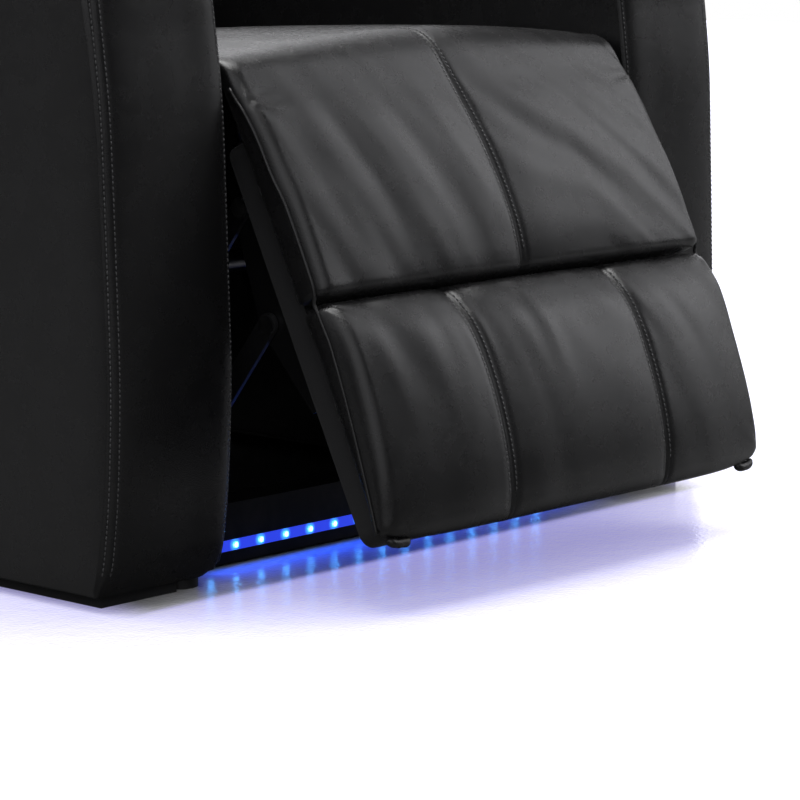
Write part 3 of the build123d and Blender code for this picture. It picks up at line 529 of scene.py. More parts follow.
def make_webbing():
    made = Maker("Elastic webbing")
    inputs = {"Scale": 260.0, "Distortion": 1.2, "Vector": made.vector}
    weave = add_node(made.tree, "TexWave", inputs).outputs["Fac"]
    made.blend(weave, (0.1, 0.09, 0.075), (0.34, 0.31, 0.27))
    made.bump(weave, 0.5, 0.0006)
    made.set(Roughness=0.8)


def make_lamp(settings):
    """Lamp that is white in its middle and coloured at its corners."""
    made = Maker("Blue lamps")
    core = tuple(settings.lamp_core)
    middle = ramp_node(made.tree, made.group("Lamp distance")["Distance"], LAMP_EDGE, LAMP_CORE)
    made.blend(middle, scaled_colour(core, 0.12), core, to="Emission Color")
    made.set(Base_Color=(0.6, 0.75, 1.0, 1.0), Roughness=0.3, Emission_Strength=settings.lamp_strength)
    made.bump(noise_node(made.tree, made.vector, 900.0, 2.0), 0.1, 0.0002)


def make_tape(settings):
    """Blue tape that is brighter round each lamp."""
    made = Maker("Blue lit tape")
    glow = ramp_node(made.tree, made.group("Lamp distance")["Distance"], GLOW_EDGE, GLOW_CORE, soft=True)
    made.blend(glow, (0.03, 0.06, 0.8), (0.08, 0.50, 1.6), to="Emission Color")
    blue = settings.lamp_colour
    blotch = made.group("Fine texture", Size=500.0)["Blotch"]
    made.blend(blotch, scaled_colour(blue, 0.3), scaled_colour(blue, 0.7))
    made.set(Emission_Strength=settings.tape_strength, Roughness=0.35)


def make_floor(settings):
    """Pale floor, bright in the camera's eyes apart from a painted shade under the chair.

    Only the camera sees it so pale: the black leather would otherwise mirror it as grey.
    """
    made = Maker("Glossy pale floor")
    tree = made.tree
    colour = tuple(settings.floor_colour)
    pale = made.blend(noise_node(tree, made.vector, 1.6, 2.0), scaled_colour(colour, 0.98), colour, to=None)
    seen = add_node(tree, "LightPath").outputs["Is Camera Ray"]
    place = split_node(tree, made.vector)
    # Painted shade under the chair: clear is 1 beyond the chair's footprint and 0 under it, and behind the
    # kick rail's front the floor's colour is painted near black.
    front = ramp_node(tree, place["Y"], FLOOR_SHADE_FRONT + 0.008, FLOOR_SHADE_FRONT - 0.012, soft=True)
    behind = ramp_node(tree, place["Y"], ARM_REAR - 0.05, ARM_REAR + 0.02, soft=True)
    sideways = math_node(tree, "ABSOLUTE", place["X"])
    beside = ramp_node(tree, sideways, ARM_OUT - 0.06, ARM_OUT + 0.01, soft=True)
    clear = math_node(tree, "MAXIMUM", math_node(tree, "MAXIMUM", front, behind), beside)
    inside = ramp_node(tree, place["Y"], FLOOR_SHADE_FRONT + 0.075, FLOOR_SHADE_FRONT + 0.095, soft=True)
    painted_shade = math_node(tree, "SUBTRACT", inside, clear)
    floor_colour = made.blend(painted_shade, pale, (0.05, 0.05, 0.055), to=None)
    made.blend(seen, (settings.floor_bounce,) * 3, floor_colour)
    # The glow is left out under the chair, which paints a soft shade on the floor there.
    shown = math_node(tree, "MULTIPLY", clear, seen)
    made.blend(shown, (0.0, 0.0, 0.0), tuple(settings.floor_glow), to="Emission Color")
    speckle = noise_node(tree, made.vector, 260.0, 2.0)
    made.rough(speckle, settings.floor_roughness, settings.floor_roughness + 0.05)
    wave = noise_node(tree, made.vector, 45.0, 2.0)
    made.bump(math_node(tree, "MULTIPLY_ADD", speckle, 0.7, wave), 0.2, 0.004)
    made.set(Specular_IOR_Level=0.5, Emission_Strength=1.0)


def material(name):
    return bpy.data.materials[name]


# Settings

class LeatherSettings(bpy.types.PropertyGroup):
    colour: bpy.props.FloatVectorProperty(
        name="Leather colour", description="Colour of the dyed hide", subtype="COLOR",
        size=3, min=0, max=1, default=(0.0047, 0.0045, 0.0050),
    )
    grain_size: bpy.props.FloatProperty(
        name="Grain size", description="Width of one pebble of the grain", unit="LENGTH", default=0.0014,
    )
    roughness: bpy.props.FloatProperty(
        name="Roughness", description="How dull the leather is", subtype="FACTOR", min=0, max=1,
        default=0.27,
    )
    stitch_pitch: bpy.props.FloatProperty(
        name="Stitch pitch", description="From one stitch to the next", unit="LENGTH", default=0.0048,
    )
    stitch_length: bpy.props.FloatProperty(
        name="Stitch length", description="Visible thread of one stitch", unit="LENGTH", default=0.0037,
    )
    stitch_width: bpy.props.FloatProperty(
        name="Thread width", description="Thickness of the sewing thread", unit="LENGTH", default=0.0013,
    )
    welt_radius: bpy.props.FloatProperty(
        name="Welt radius", description="Radius of the welt along the leg rest's sides", unit="LENGTH",
        default=0.0017,
    )


class LegRestSettings(bpy.types.PropertyGroup):
    seam_depth: bpy.props.FloatProperty(
        name="Seam depth", description="How far a seam is drawn into its pad", unit="LENGTH", default=0.0028,
    )
    valley_depth: bpy.props.FloatProperty(
        name="Valley depth", description="Broad hollow on both sides of a seam", unit="LENGTH",
        default=0.0022,
    )
    fold_height: bpy.props.FloatProperty(
        name="Fold height", description="Height of the soft folds in the leather", unit="LENGTH",
        default=0.0026,
    )


class ArmSettings(bpy.types.PropertyGroup):
    front_crown: bpy.props.FloatProperty(
        name="Front crown", description="Swell of the band on the arm's front", unit="LENGTH",
        default=0.006,
    )
    top_crown: bpy.props.FloatProperty(
        name="Top crown", description="Swell of the band on the arm's top", unit="LENGTH", default=0.010,
    )
    side_fullness: bpy.props.FloatProperty(
        name="Side fullness", description="Swell of the arm's outer side", unit="LENGTH", default=0.006,
    )
    seam_depth: bpy.props.FloatProperty(
        name="Seam depth", description="Depth of the groove at a sewn edge", unit="LENGTH", default=0.0016,
    )
    outer_row: bpy.props.FloatProperty(
        name="Outer row", description="From the outer seam to its second row of stitches", unit="LENGTH",
        default=0.0082,
    )
    inner_row: bpy.props.FloatProperty(
        name="Inner row", description="From the inner seam to its row of stitches", unit="LENGTH",
        default=0.0045,
    )


class BackSettings(bpy.types.PropertyGroup):
    pressure: bpy.props.FloatProperty(
        name="Filling pressure", description="Pressure of the filling while the covers settle", default=4.0,
    )
    cap: bpy.props.FloatProperty(
        name="Settling limit", description="Furthest that settling moves a cover", unit="LENGTH",
        default=0.012,
    )


class LightSettings(bpy.types.PropertyGroup):
    lamp_colour: bpy.props.FloatVectorProperty(
        name="Tape colour", description="Blue of the lit tape", subtype="COLOR", size=3, min=0, max=1,
        default=(0.01, 0.07, 1.0),
    )
    lamp_core: bpy.props.FloatVectorProperty(
        name="Lamp colour", description="Colour of the lamps themselves", subtype="COLOR",
        size=3, min=0, max=1, default=(0.07, 0.38, 1.0),
    )
    lamp_strength: bpy.props.FloatProperty(
        name="Lamp strength", description="Brightness of the lamps", default=18.0,
    )
    tape_strength: bpy.props.FloatProperty(
        name="Tape strength", description="Brightness of the tape between the lamps", default=0.9,
    )


class StudioSettings(bpy.types.PropertyGroup):
    floor_colour: bpy.props.FloatVectorProperty(
        name="Floor colour", description="Colour of the floor", subtype="COLOR", size=3, min=0, max=1,
        default=(0.9, 0.9, 0.91),
    )
    floor_roughness: bpy.props.FloatProperty(
        name="Floor roughness", description="How blurred the floor's reflections are", subtype="FACTOR",
        min=0, max=1, default=0.12,
    )
    floor_glow: bpy.props.FloatVectorProperty(
        name="Floor glow", description="How pale the floor is in the chair's shade", subtype="COLOR",
        size=3, min=0, max=1, default=(0.30, 0.28, 0.54),
    )
    floor_bounce: bpy.props.FloatProperty(
        name="Floor bounce", description="How bright the floor is in the chair's reflections",
        subtype="FACTOR", min=0, max=1, default=0.12,
    )
    floor_radius: bpy.props.FloatProperty(
        name="Floor radius", description="Half width of the floor", unit="LENGTH", default=9.0,
    )
    sky_strength: bpy.props.FloatProperty(
        name="Sky strength", description="Strength of the soft light from above", min=0, default=3.4,
    )
    sky_angle: bpy.props.FloatProperty(
        name="Sky softness", description="How wide the light from above is", subtype="ANGLE", min=0,
        default=0.8,
    )
    right_light: bpy.props.FloatProperty(
        name="Right light", description="Brightness of the soft light to the camera's right", min=0,
        default=1.75,
    )
    rear_light: bpy.props.FloatProperty(
        name="Rear light", description="Brightness of the soft light behind the chair", min=0,
        default=1.3,
    )
    left_light: bpy.props.FloatProperty(
        name="Left light", description="Brightness of the soft light to the camera's left", min=0,
        default=0.9,
    )
    front_light: bpy.props.FloatProperty(
        name="Front light", description="Brightness of the soft light behind the camera", min=0,
        default=1.0,
    )
    fill_light: bpy.props.FloatProperty(
        name="Fill light", description="Brightness of the studio elsewhere", min=0, default=0.1,
    )
    lens: bpy.props.FloatProperty(
        name="Lens", description="Focal length in millimetres on a 36 mm sensor", default=148.5,
    )
    camera_place: bpy.props.FloatVectorProperty(
        name="Camera place", description="Where the camera stands", subtype="XYZ", unit="LENGTH", size=3,
        default=(-2.317, -2.395, 0.636),
    )
    camera_turn: bpy.props.FloatProperty(
        name="Camera turn", description="From straight ahead towards the chair's left", subtype="ANGLE",
        default=0.8354,
    )
    camera_dip: bpy.props.FloatProperty(
        name="Camera dip", description="Below the horizon", subtype="ANGLE", default=0.1597,
    )


# Arms

# The front as (height, place), then the roll over the top as (place, height)
ARM_FRONT_LINE = [
    (0.012, 0.0), (0.034, -0.008), (0.063, -0.013), (0.096, -0.017), (0.140, -0.020), (0.205, -0.022),
    (0.285, -0.020), (0.370, -0.017), (0.432, -0.014), (0.484, -0.008), (0.530, -0.001), (0.562, 0.006),
]
ARM_ROLL = [(0.006, 0.562), (0.018, 0.586), (0.036, 0.603), (0.062, 0.614), (0.12, 0.6165)]
ARM_FRONT_TOP = ARM_FRONT_LINE[-1][0]
ARM_FRONT_DEPTH = 0.15
ARM_REAR_RADIUS = 0.03
ARM_CORNER = 0.022
# Stations of the band from its edge, close at the seam and its stitches, and of the sides from their edge
BAND_EDGE = [
    0, 0.0006, 0.0012, 0.002, 0.003, 0.0036, 0.0042, 0.005, 0.0062, 0.0072, 0.008, 0.0088, 0.01, 0.0125,
    0.016, 0.02,
]
SIDE_INSETS = [0.0015, 0.003, 0.0055, 0.009, 0.014, 0.02, 0.028, 0.04, 0.055, 0.075, 0.1]
SIDE_INSETS += spread(0.1, 1.0, 22)[1:]
EDGE_STITCH = 0.0012
STITCHED_STATIONS = range(3, 118)
# The band's crown: how it fades at the foot, grows towards the top and softens at the seams
CROWN_FOOT = 0.03
CROWN_GROWS_FROM = 0.5
CROWN_GROWS_OVER = 0.1
REAR_SWELL = 0.002
INNER_SOFTNESS = 0.009
OUTER_SOFTNESS = 0.008
SIDE_SOFTNESS = 0.014
BAND_RIPPLE = 0.0009
# Grooves of the arms' seams, and the dents of their stitches
GROOVE_HALF = 0.0013
STITCH_DENT = 0.0005
STITCH_DENT_HALF = 0.0012


def arm_outline():
    """Side outline of an arm as (y, z, outward direction), from its front foot over the top and back."""
    points = [(FOOT_LINE + smooth_line(ARM_FRONT_LINE, z), z) for z in spread(ARM_FOOT, ARM_FRONT_TOP, 80)]
    roll = [(FOOT_LINE + y, z) for y, z in ARM_ROLL]
    flat, top = roll[-1]
    points += [(y, smooth_line(roll, y)) for y in spread(roll[0][0], flat, 24, 1.3)]
    end, shoulder = ARM_REAR - ARM_REAR_RADIUS, top - ARM_REAR_RADIUS
    points += [(y, top) for y in spread(flat, end, 60)]
    for i in range(9):
        turn = math.pi / 2 * i / 8
        points.append((end + ARM_REAR_RADIUS * math.sin(turn), shoulder + ARM_REAR_RADIUS * math.cos(turn)))
    points += [(ARM_REAR, z) for z in spread(shoulder, ARM_FOOT, 50)[1:]]
    points += [(y, ARM_FOOT) for y in spread(ARM_REAR, FOOT_LINE, 70)]
    outline = []
    for i, (y, z) in enumerate(points):
        before, after = points[i - 1], points[(i + 1) % len(points)]
        ahead = Vector((after[0] - before[0], after[1] - before[1])).normalized()
        outline.append((y, z, -ahead.y, ahead.x))
    return outline


def rise(distance, width):
    """From 0 at an edge to 1 well inside it."""
    return 1 - math.exp(-max(distance, 0) / width)


def arm_swell(settings, z, y):
    """Crown of the band at a place of the outline: the top's is fuller than the front's."""
    at_front = y < FOOT_LINE + ARM_FRONT_DEPTH
    if z < ARM_FRONT_TOP - 0.012 and not at_front:
        return REAR_SWELL
    share = clamp((z - CROWN_GROWS_FROM) / CROWN_GROWS_OVER) if at_front else 1
    crown = settings.front_crown + (settings.top_crown - settings.front_crown) * share
    return crown * clamp((z - ARM_FOOT) / CROWN_FOOT)


def band_height(settings, z, y, e, width):
    """How far the band stands out from the arm's outline, at a distance e from its inner edge."""
    inner, outer = e, width - e
    u = (2 * e - width) / width
    full = arm_swell(settings, z, y)
    height = full * rise(inner, INNER_SOFTNESS) * rise(outer, OUTER_SOFTNESS) + 0.35 * full * (1 - u * u)
    height += 0.0025 * gauss(inner, 0.03)
    height -= settings.seam_depth * (gauss(inner, GROOVE_HALF) + gauss(outer, GROOVE_HALF))
    for row in (inner - settings.inner_row, outer - settings.outer_row):
        height -= STITCH_DENT * gauss(row, STITCH_DENT_HALF)
    soft = BAND_RIPPLE * ripple(e, z + y, 0.05, 0.11, 3.1)
    return height + soft * rise(inner, 0.02) * rise(outer, 0.02)


def arm_cover(name, side, settings):
    """One sewn leather cover: a band round the front and top between two seams, and both sides."""
    outline = arm_outline()
    count = len(outline)
    width = ARM_OUT - SEAT_HALF
    places = BAND_EDGE + spread(BAND_EDGE[-1], width - BAND_EDGE[-1], 14)[1:]
    places += [width - e for e in reversed(BAND_EDGE)]
    vertices, faces = [], []

    def at(k, e):
        """Point of the band at station k of the outline and a distance e from the inner edge."""
        y, z, outward_y, outward_z = outline[k]
        out = band_height(settings, z, y, e, width)
        floor = ARM_FOOT
        if e < ARM_CORNER:
            floor += ARM_CORNER - math.sqrt(ARM_CORNER ** 2 - (ARM_CORNER - e) ** 2)
        return Vector((side * (SEAT_HALF + e), y + outward_y * out, max(z + outward_z * out, floor)))

    for e in places:
        vertices += [at(k, e) for k in range(count)]
    outer_edge = len(vertices) - count
    for first in range(0, outer_edge, count):
        faces += ring_faces(first, first + count, count)
    centre_y, centre_z = (FOOT_LINE + ARM_REAR) / 2, (ARM_FOOT + ARM_TOP) / 2
    for e, fullness, edge in ((0.0, 0.0, 0), (width, settings.side_fullness, outer_edge)):

        def side_point(y, z):
            puff = fullness
            for gap in (y - FOOT_LINE + 0.022, ARM_REAR - y, ARM_TOP - z, z - ARM_FOOT):
                puff *= rise(gap, SIDE_SOFTNESS)
            soft = ripple(y, z, 0.12, 0.2, 7.7 + side) + 0.5 * ripple(z, y, 0.05, 0.09, 2.2 + side)
            return Vector((side * (SEAT_HALF + e + puff * (1 + 0.25 * soft)), y, z))

        previous = edge
        for inset in SIDE_INSETS:
            current = len(vertices)
            for point in vertices[edge:edge + count]:
                y = point.y + (centre_y - point.y) * inset
                vertices.append(side_point(y, point.z + (centre_z - point.z) * inset))
            faces += ring_faces(previous, current, count)
            previous = current
        faces += [(previous + k, previous + (k + 1) % count, len(vertices)) for k in range(count)]
        vertices.append(side_point(centre_y, centre_z))
    piece = new_object(name, vertices, faces, material("Black leather"))
    # Rows of stitches beside the seams: at the outer edge two, at the inner edge one
    rows = []
    for station in (width - EDGE_STITCH, width - settings.outer_row, settings.inner_row):
        row = []
        for k in STITCHED_STATIONS:
            along = at(k + 1, station) - at(k - 1, station)
            across = at(k, station + 0.0005) - at(k, station - 0.0005)
            normal = along.cross(across).normalized()
            if normal.y > 0 or (abs(normal.y) < 0.2 and normal.z < 0):
                normal = -normal
            row.append((at(k, station), normal))
        rows.append(row)
    return piece, rows


class RECLINER_OT_arms(bpy.types.Operator):
    """Sew the leather covers of both arms, with their double topstitching"""

    bl_idname = "recliner.arms"
    bl_label = "Arms"

    def execute(self, context):
        scene = context.scene
        for name, side in SIDES:
            piece, rows = arm_cover(name + "_arm_cover", side, scene.recliner_arms)
            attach(piece, "base")
            parts = ("front_panel", "top_pad", "inner_panel", "outer_panel", "rear_panel")
            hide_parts(*[name + "_arm_" + part for part in parts])
            thread = stitches(name + "_arm_stitches", rows, scene.recliner_leather, material("Black thread"))
            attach(thread, "base")
        return {"FINISHED"}


# Seat and leg rest

CALF_LENGTH = 0.217
FOOT_START = 0.219
FOOT_END = 0.437
REST_HALF = 0.271
NOSE_TURN = math.pi / 2 - REST_TILT
NOSE_RADIUS = 0.0495
SEAT_RUN = SEAT_REAR - HINGE.y
NOSE_RUN = NOSE_TURN * NOSE_RADIUS
INNER_RADIUS = 0.0244
COVER_DEEP = 0.04
COVER_STATIONS = [COVER_DEEP * i / 8 for i in range(9)]
FOOT_SEAM = 0.112
SEAM_GROOVE = 0.0011
SEAM_ROW = 0.0045
SEAM_FINE = 0.0006
# How wide the draw of a seam, the hollow round it, its groove and the dents of its stitches are
SEAM_WIDTH = 0.0062
VALLEY_WIDTH = 0.026
GROOVE_WIDTH = 0.0009
DENT_WIDTH = 0.0011
# Folds that run down the pads, large and small
FOLD_WIDTH = 0.038
FOLD_LENGTH = 0.15
SMALL_FOLD_WIDTH = 0.017
SMALL_FOLD_LENGTH = 0.09
# Creases at a pad's corners
PUCKER_HEIGHT = 0.0016
PUCKER_REACH = 0.012
PUCKER_WIDTH = 0.026
# How the seat's top falls to the rear and, more at its nose, to the sides
SEAT_FALL = 0.033
SEAT_CURVE = 0.027
SIDE_FALL = 0.007
NOSE_SIDE_FALL = 0.010
NOSE_REACH = 0.08
# The foot pad's lower corners are pulled up
CORNER_PULL = 0.010
PULL_START = 0.35
# How round the covers' edges are: across, down and out
CALF_ROUND = (0.014, 0.008, 0.013)
FOOT_ROUND = (0.015, 0.010, 0.015)
SEAM_FINE_HALF = 0.016
# The welts end short of the hinge and of the foot pad's end, and dip between the two pads
WELT_INSET = 0.012
WELT_PINCH = 0.003
# The tabs at the foot pad's lower corners: their places, and how round their edges are
TAB_ACROSS = (0.236, 0.264)
TAB_ALONG = (0.4295, 0.4385)
TAB_OUT = (0.028, 0.036)
TAB_ROUND = (0.006, 0.0045, 0.0038)

# How far the pads stand out from the board, as (place from the hinge, distance)
CALF_WELT = [
    (0.0, 0.036), (0.019, 0.039), (0.040, 0.045), (0.065, 0.049), (0.100, 0.051), (0.129, 0.055),
    (0.190, 0.055), (0.217, 0.054),
]
FOOT_WELT = [
    (0.219, 0.052), (0.233, 0.050), (0.258, 0.051), (0.315, 0.046), (0.395, 0.035), (0.430, 0.029),
    (0.437, 0.028),
]
WELT_RISE = 0.009
CALF_EDGE = [(along, out + WELT_RISE) for along, out in CALF_WELT]
CALF_MIDDLE = [
    (0.0, 0.0525), (0.027, 0.0585), (0.06, 0.0665), (0.11, 0.0735), (0.16, 0.0735), (0.195, 0.069),
    (0.217, 0.063),
]
FOOT_EDGE = [
    (0.219, 0.055), (0.235, 0.064), (0.26, 0.070), (0.313, 0.066), (0.366, 0.059), (0.408, 0.05),
    (0.437, 0.04),
]
FOOT_MIDDLE = [
    (0.219, 0.058), (0.24, 0.071), (0.27, 0.082), (0.315, 0.083), (0.366, 0.076), (0.408, 0.064),
    (0.437, 0.048),
]


def leg_folds(x, along, settings, seed, slant):
    """Soft folds of the leg rest's leather: long down the pads, narrow across, more slanted on the left."""
    lean = x - slant * along * (0.35 + 0.65 * clamp(x / 0.12))
    folds = ripple(lean, along, FOLD_WIDTH, FOLD_LENGTH, seed)
    folds += 0.35 * ripple(lean, along, SMALL_FOLD_WIDTH, SMALL_FOLD_LENGTH, seed + 5)
    return settings.fold_height * folds


def corner_puckers(x, along, corner_along):
    """Small creases that spread from the corners of a pad, where its leather is gathered."""
    total = 0.0
    for side in (-1, 1):
        across, down = side * REST_HALF - x, along - corner_along
        reach, turn = math.hypot(across, down), math.atan2(down, across)
        crease = noise.noise(Vector((3.4 * turn, reach / 0.05, 8.1 + side)))
        total += PUCKER_HEIGHT * gauss(reach - PUCKER_REACH, PUCKER_WIDTH) * crease
    return total


def seam_draw(x, places, settings):
    """How far the seams at these places draw the leather in."""
    total = 0.0
    for place in places:
        away = x - place
        hollow = settings.valley_depth * gauss(away, VALLEY_WIDTH)
        total += settings.seam_depth * gauss(away, SEAM_WIDTH) + hollow
        rows = gauss(away - SEAM_ROW, DENT_WIDTH) + gauss(away + SEAM_ROW, DENT_WIDTH)
        total += SEAM_GROOVE * (gauss(away, GROOVE_WIDTH) + 0.3 * rows)
    return total


def pad_face(x, along, edge_line, middle_line):
    """Crowned face of a pad between its edges, without its seams and folds."""
    edge = smooth_line(edge_line, along)
    return edge + (smooth_line(middle_line, along) - edge) * (1 - abs(x / REST_HALF) ** 2.6)


def clear_of_edges(x):
    """Folds fade towards the pad's side edges."""
    return 1 - 0.75 * gauss(abs(x) - REST_HALF, 0.03)


def calf_face(x, along, settings):
    drawn = seam_draw(x, (0.0,), settings) * (0.5 + 0.5 * clamp(along / 0.05))
    strength = clamp(along / 0.06, 0.3) * clear_of_edges(x)
    folds = leg_folds(x, along, settings, 1.7, 1.0) * strength + corner_puckers(x, along, 0.03)
    return pad_face(x, along, CALF_EDGE, CALF_MIDDLE) - drawn + folds


def foot_face(x, along, settings):
    drawn = seam_draw(x, (-FOOT_SEAM, FOOT_SEAM), settings)
    strength = (0.3 + 0.9 * gauss(along - FOOT_START - 0.035, 0.07)) * clear_of_edges(x)
    folds = leg_folds(x, along, settings, 9.3, 0.4) * strength
    folds += corner_puckers(x, along, FOOT_START) + corner_puckers(x, along, FOOT_END)
    return pad_face(x, along, FOOT_EDGE, FOOT_MIDDLE) - drawn + folds


def seat_height(x, back):
    """Height of the seat's top above the hinge, at a distance behind it: lower at the rear and sides."""
    middle = NOSE_RADIUS - SEAT_FALL * back - SEAT_CURVE * back * back
    side_drop = SIDE_FALL + NOSE_SIDE_FALL * math.exp(-back / NOSE_REACH)
    return middle - side_drop * abs(x / REST_HALF) ** 1.7


def round_hinge(x, radius, angle):
    return Vector((x, HINGE.y + radius * math.cos(angle), HINGE.z + radius * math.sin(angle)))


def cover_outer(x, run, settings):
    """Outer face of the seat and calf cover: run counts from the seat's rear over the nose and down."""
    back = max(SEAT_RUN - run, 0)
    seat = seat_height(x, back) - 0.5 * seam_draw(x, (0.0,), settings)
    seat += 0.3 * leg_folds(x, -back, settings, 1.7, 0.0)
    if back:
        return Vector((x, HINGE.y + back, HINGE.z + seat))
    along = run - SEAT_RUN - NOSE_RUN
    if along >= 0:
        return leg_place(x, along, calf_face(x, along, settings))
    t = (run - SEAT_RUN) / NOSE_RUN
    end = calf_face(x, 0, settings)
    step = 0.004
    start_slope = (seat_height(x, 0) - seat_height(x, step)) / step * NOSE_RUN
    end_slope = (calf_face(x, step, settings) - end) / step * NOSE_RUN
    radius = seat * (1 - t * t * (3 - 2 * t)) + end * t * t * (3 - 2 * t)
    radius += start_slope * t * (1 - t) * (1 - t) - end_slope * t * t * (1 - t)
    return round_hinge(x, radius, math.pi / 2 + t * NOSE_TURN)


def cover_inner(x, run):
    """Inner face of the same cover: it steps up where the seat's front rail lies below it."""
    along = run - SEAT_RUN - NOSE_RUN
    if run < SEAT_RUN:
        back = SEAT_RUN - run
        low, high = SEAT_UNDER + 0.0008, HINGE.z + INNER_RADIUS
        share = clamp((back - (FRONT_RAIL_REAR - 0.016 - HINGE.y)) / 0.008)
        return Vector((x, HINGE.y + back, high + (low - high) * share))
    if along < 0:
        return round_hinge(x, INNER_RADIUS, math.pi / 2 + (run - SEAT_RUN) / NOSE_RUN * NOSE_TURN)
    return leg_place(x, along, INNER_RADIUS)


def seam_stations(places, seams):
    """The places with much closer ones beside each seam, for its groove and its two rows of stitches."""
    span = SEAM_ROW + 3 * SEAM_FINE
    count = round(2 * span / SEAM_FINE)
    for seam in seams:
        places = [p for p in places if abs(p - seam) > span + SEAM_FINE / 2]
        places += [seam - span + 2 * span * i / count for i in range(count + 1)]
    return sorted(places)


def pad_across(seams, edge_half):
    """Stations across a pad: closer at its edges, and much closer at its seams."""
    fine = [(seam, SEAM_FINE_HALF) for seam in seams] + [(-REST_HALF, edge_half), (REST_HALF, edge_half)]
    return seam_stations(stations(-REST_HALF, REST_HALF, 0.007, fine, 0.002), seams)


def seam_rows(surface, seam, start, reach, count):
    """Two rows of stitches on a surface, one on each side of a seam."""
    shares = [reach * i / count for i in range(count + 1)]
    sides = (seam - SEAM_ROW, seam + SEAM_ROW)
    return [surface_row(surface, [(side, start + share) for share in shares]) for side in sides]


class RECLINER_OT_seat_and_calf(bpy.types.Operator):
    """Sew the cover that runs from the seat over its nose and down the calf pad, with its middle seam"""

    bl_idname = "recliner.seat_and_calf"
    bl_label = "Seat and calf cover"

    def execute(self, context):
        settings = context.scene.recliner_leg_rest
        length = SEAT_RUN + NOSE_RUN + CALF_LENGTH
        nose = SEAT_RUN + NOSE_RUN / 2
        across = pad_across((0.0,), 0.018)
        down = stations(0, length, 0.007, [(nose, 0.07), (length, 0.02)], 0.003)

        def surface(x, run):
            return cover_outer(x, run, settings)

        def shape(x, run, depth):
            return cover_inner(x, run).lerp(surface(x, run), depth / COVER_DEEP)

        piece = rounded_block(
            "seat_and_calf_cover", across, down, COVER_STATIONS, CALF_ROUND, shape, material("Black leather"),
        )
        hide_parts("seat_cushion", "calf_pad")
        rows = seam_rows(surface, 0.0, 0.03, length - 0.045, 400)
        thread = stitches("calf_stitches", rows, context.scene.recliner_leather, material("Black thread"))
        for sewn in (piece, thread):
            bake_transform(sewn)
        return {"FINISHED"}


class RECLINER_OT_foot_pad(bpy.types.Operator):
    """Sew the foot pad with its two seams, its corner tabs and the welts along the sides of the leg rest"""

    bl_idname = "recliner.foot_pad"
    bl_label = "Foot pad"

    def execute(self, context):
        settings = context.scene.recliner_leg_rest
        leather = context.scene.recliner_leather
        seams = (-FOOT_SEAM, FOOT_SEAM)
        across = pad_across(seams, SEAM_FINE_HALF)
        down = stations(FOOT_START, FOOT_END, 0.006, [(FOOT_START, 0.02), (FOOT_END, 0.02)], 0.002)

        def surface(x, along):
            return leg_place(x, along, foot_face(x, along, settings))

        def shape(x, along, depth):
            share = depth / COVER_DEEP
            low = max(along - PULL_START, 0) / (FOOT_END - PULL_START)
            pulled = CORNER_PULL * abs(x / REST_HALF) ** 8 * low * low
            out = INNER_RADIUS + (foot_face(x, along, settings) - INNER_RADIUS) * share
            return leg_place(x, along - pulled, out)

        piece = rounded_block(
            "foot_pad_cover", across, down, COVER_STATIONS, FOOT_ROUND, shape, material("Black leather"),
        )
        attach(piece, "leg_rest")
        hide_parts("foot_pad")
        rows = [row for seam in seams for row in seam_rows(surface, seam, FOOT_START + 0.012, 0.19, 150)]
        thread = stitches("foot_stitches", rows, leather, material("Black thread"))
        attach(thread, "leg_rest")
        for name, side in SIDES:
            path = []
            for i in range(121):
                along = WELT_INSET + (FOOT_END - 2 * WELT_INSET) * i / 120
                line = CALF_WELT if along < CALF_LENGTH + 0.001 else FOOT_WELT
                pinch = WELT_PINCH * gauss(along - FOOT_START, 0.008)
                path.append(leg_place(side * (REST_HALF + 0.0004), along, smooth_line(line, along) - pinch))
            welt = tube(name + "_leg_rest_welt", path, leather.welt_radius, material("Black leather"))
            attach(welt, "leg_rest")
        for name, side in SIDES:

            def fold(x, along, out, side=side):
                sway = 0.003 * math.sin((x - TAB_ACROSS[0]) * 130)
                sway += 0.002 * ripple(x, out, 0.01, 0.02, 6.2 + side)
                return leg_place(side * x, along + sway, out)

            tab = rounded_block(
                name + "_foot_tab", stations(*TAB_ACROSS, 0.002), stations(*TAB_ALONG, 0.001),
                stations(*TAB_OUT, 0.001), TAB_ROUND, fold, material("Black leather"),
            )
            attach(tab, "leg_rest")
        return {"FINISHED"}


# Back

def settle(piece, pressure, cap, frames=16):
    """Fill a cover by cloth simulation, with its flat rear held, and keep every point within the cap."""
    modifier = piece.modifiers.new("Filling", "CLOTH")
    cloth = modifier.settings
    cloth.use_pressure = True
    cloth.uniform_pressure_force = pressure
    cloth.quality = 5
    cloth.mass = 0.4
    cloth.tension_stiffness = 25
    cloth.compression_stiffness = 25
    cloth.bending_stiffness = 2.0
    cloth.shrink_min = -0.025
    cloth.effector_weights.gravity = 0
    cloth.vertex_group_mass = "held"
    modifier.collision_settings.use_self_collision = False
    modifier.point_cache.frame_end = frames
    scene = bpy.context.scene
    for number in range(1, frames + 1):
        scene.frame_set(number)
    settled = piece.evaluated_get(bpy.context.evaluated_depsgraph_get()).data
    moved = [v.co.copy() for v in settled.vertices]
    piece.modifiers.remove(modifier)
    scene.frame_set(1)
    for vertex, new in zip(piece.data.vertices, moved):
        step = new - vertex.co
        if step.length > cap:
            step = step.normalized() * cap
        vertex.co += step
    piece.data.update()


# Each cushion's name, low and high edge, front and crown
CUSHIONS = (
    ("lumbar_cushion", 0.098, 0.338, 0.118, 0.024),
    ("upper_back_cushion", 0.3425, 0.545, 0.108, 0.018),
    ("head_pillow", 0.5495, 0.742, 0.100, 0.024),
)
BACK_HALF = 0.277
BACK_SIDE_FRONT = 0.0343
HELD_DEPTH = 0.012
CUSHION_ROUND = (0.02, 0.026, 0.02)
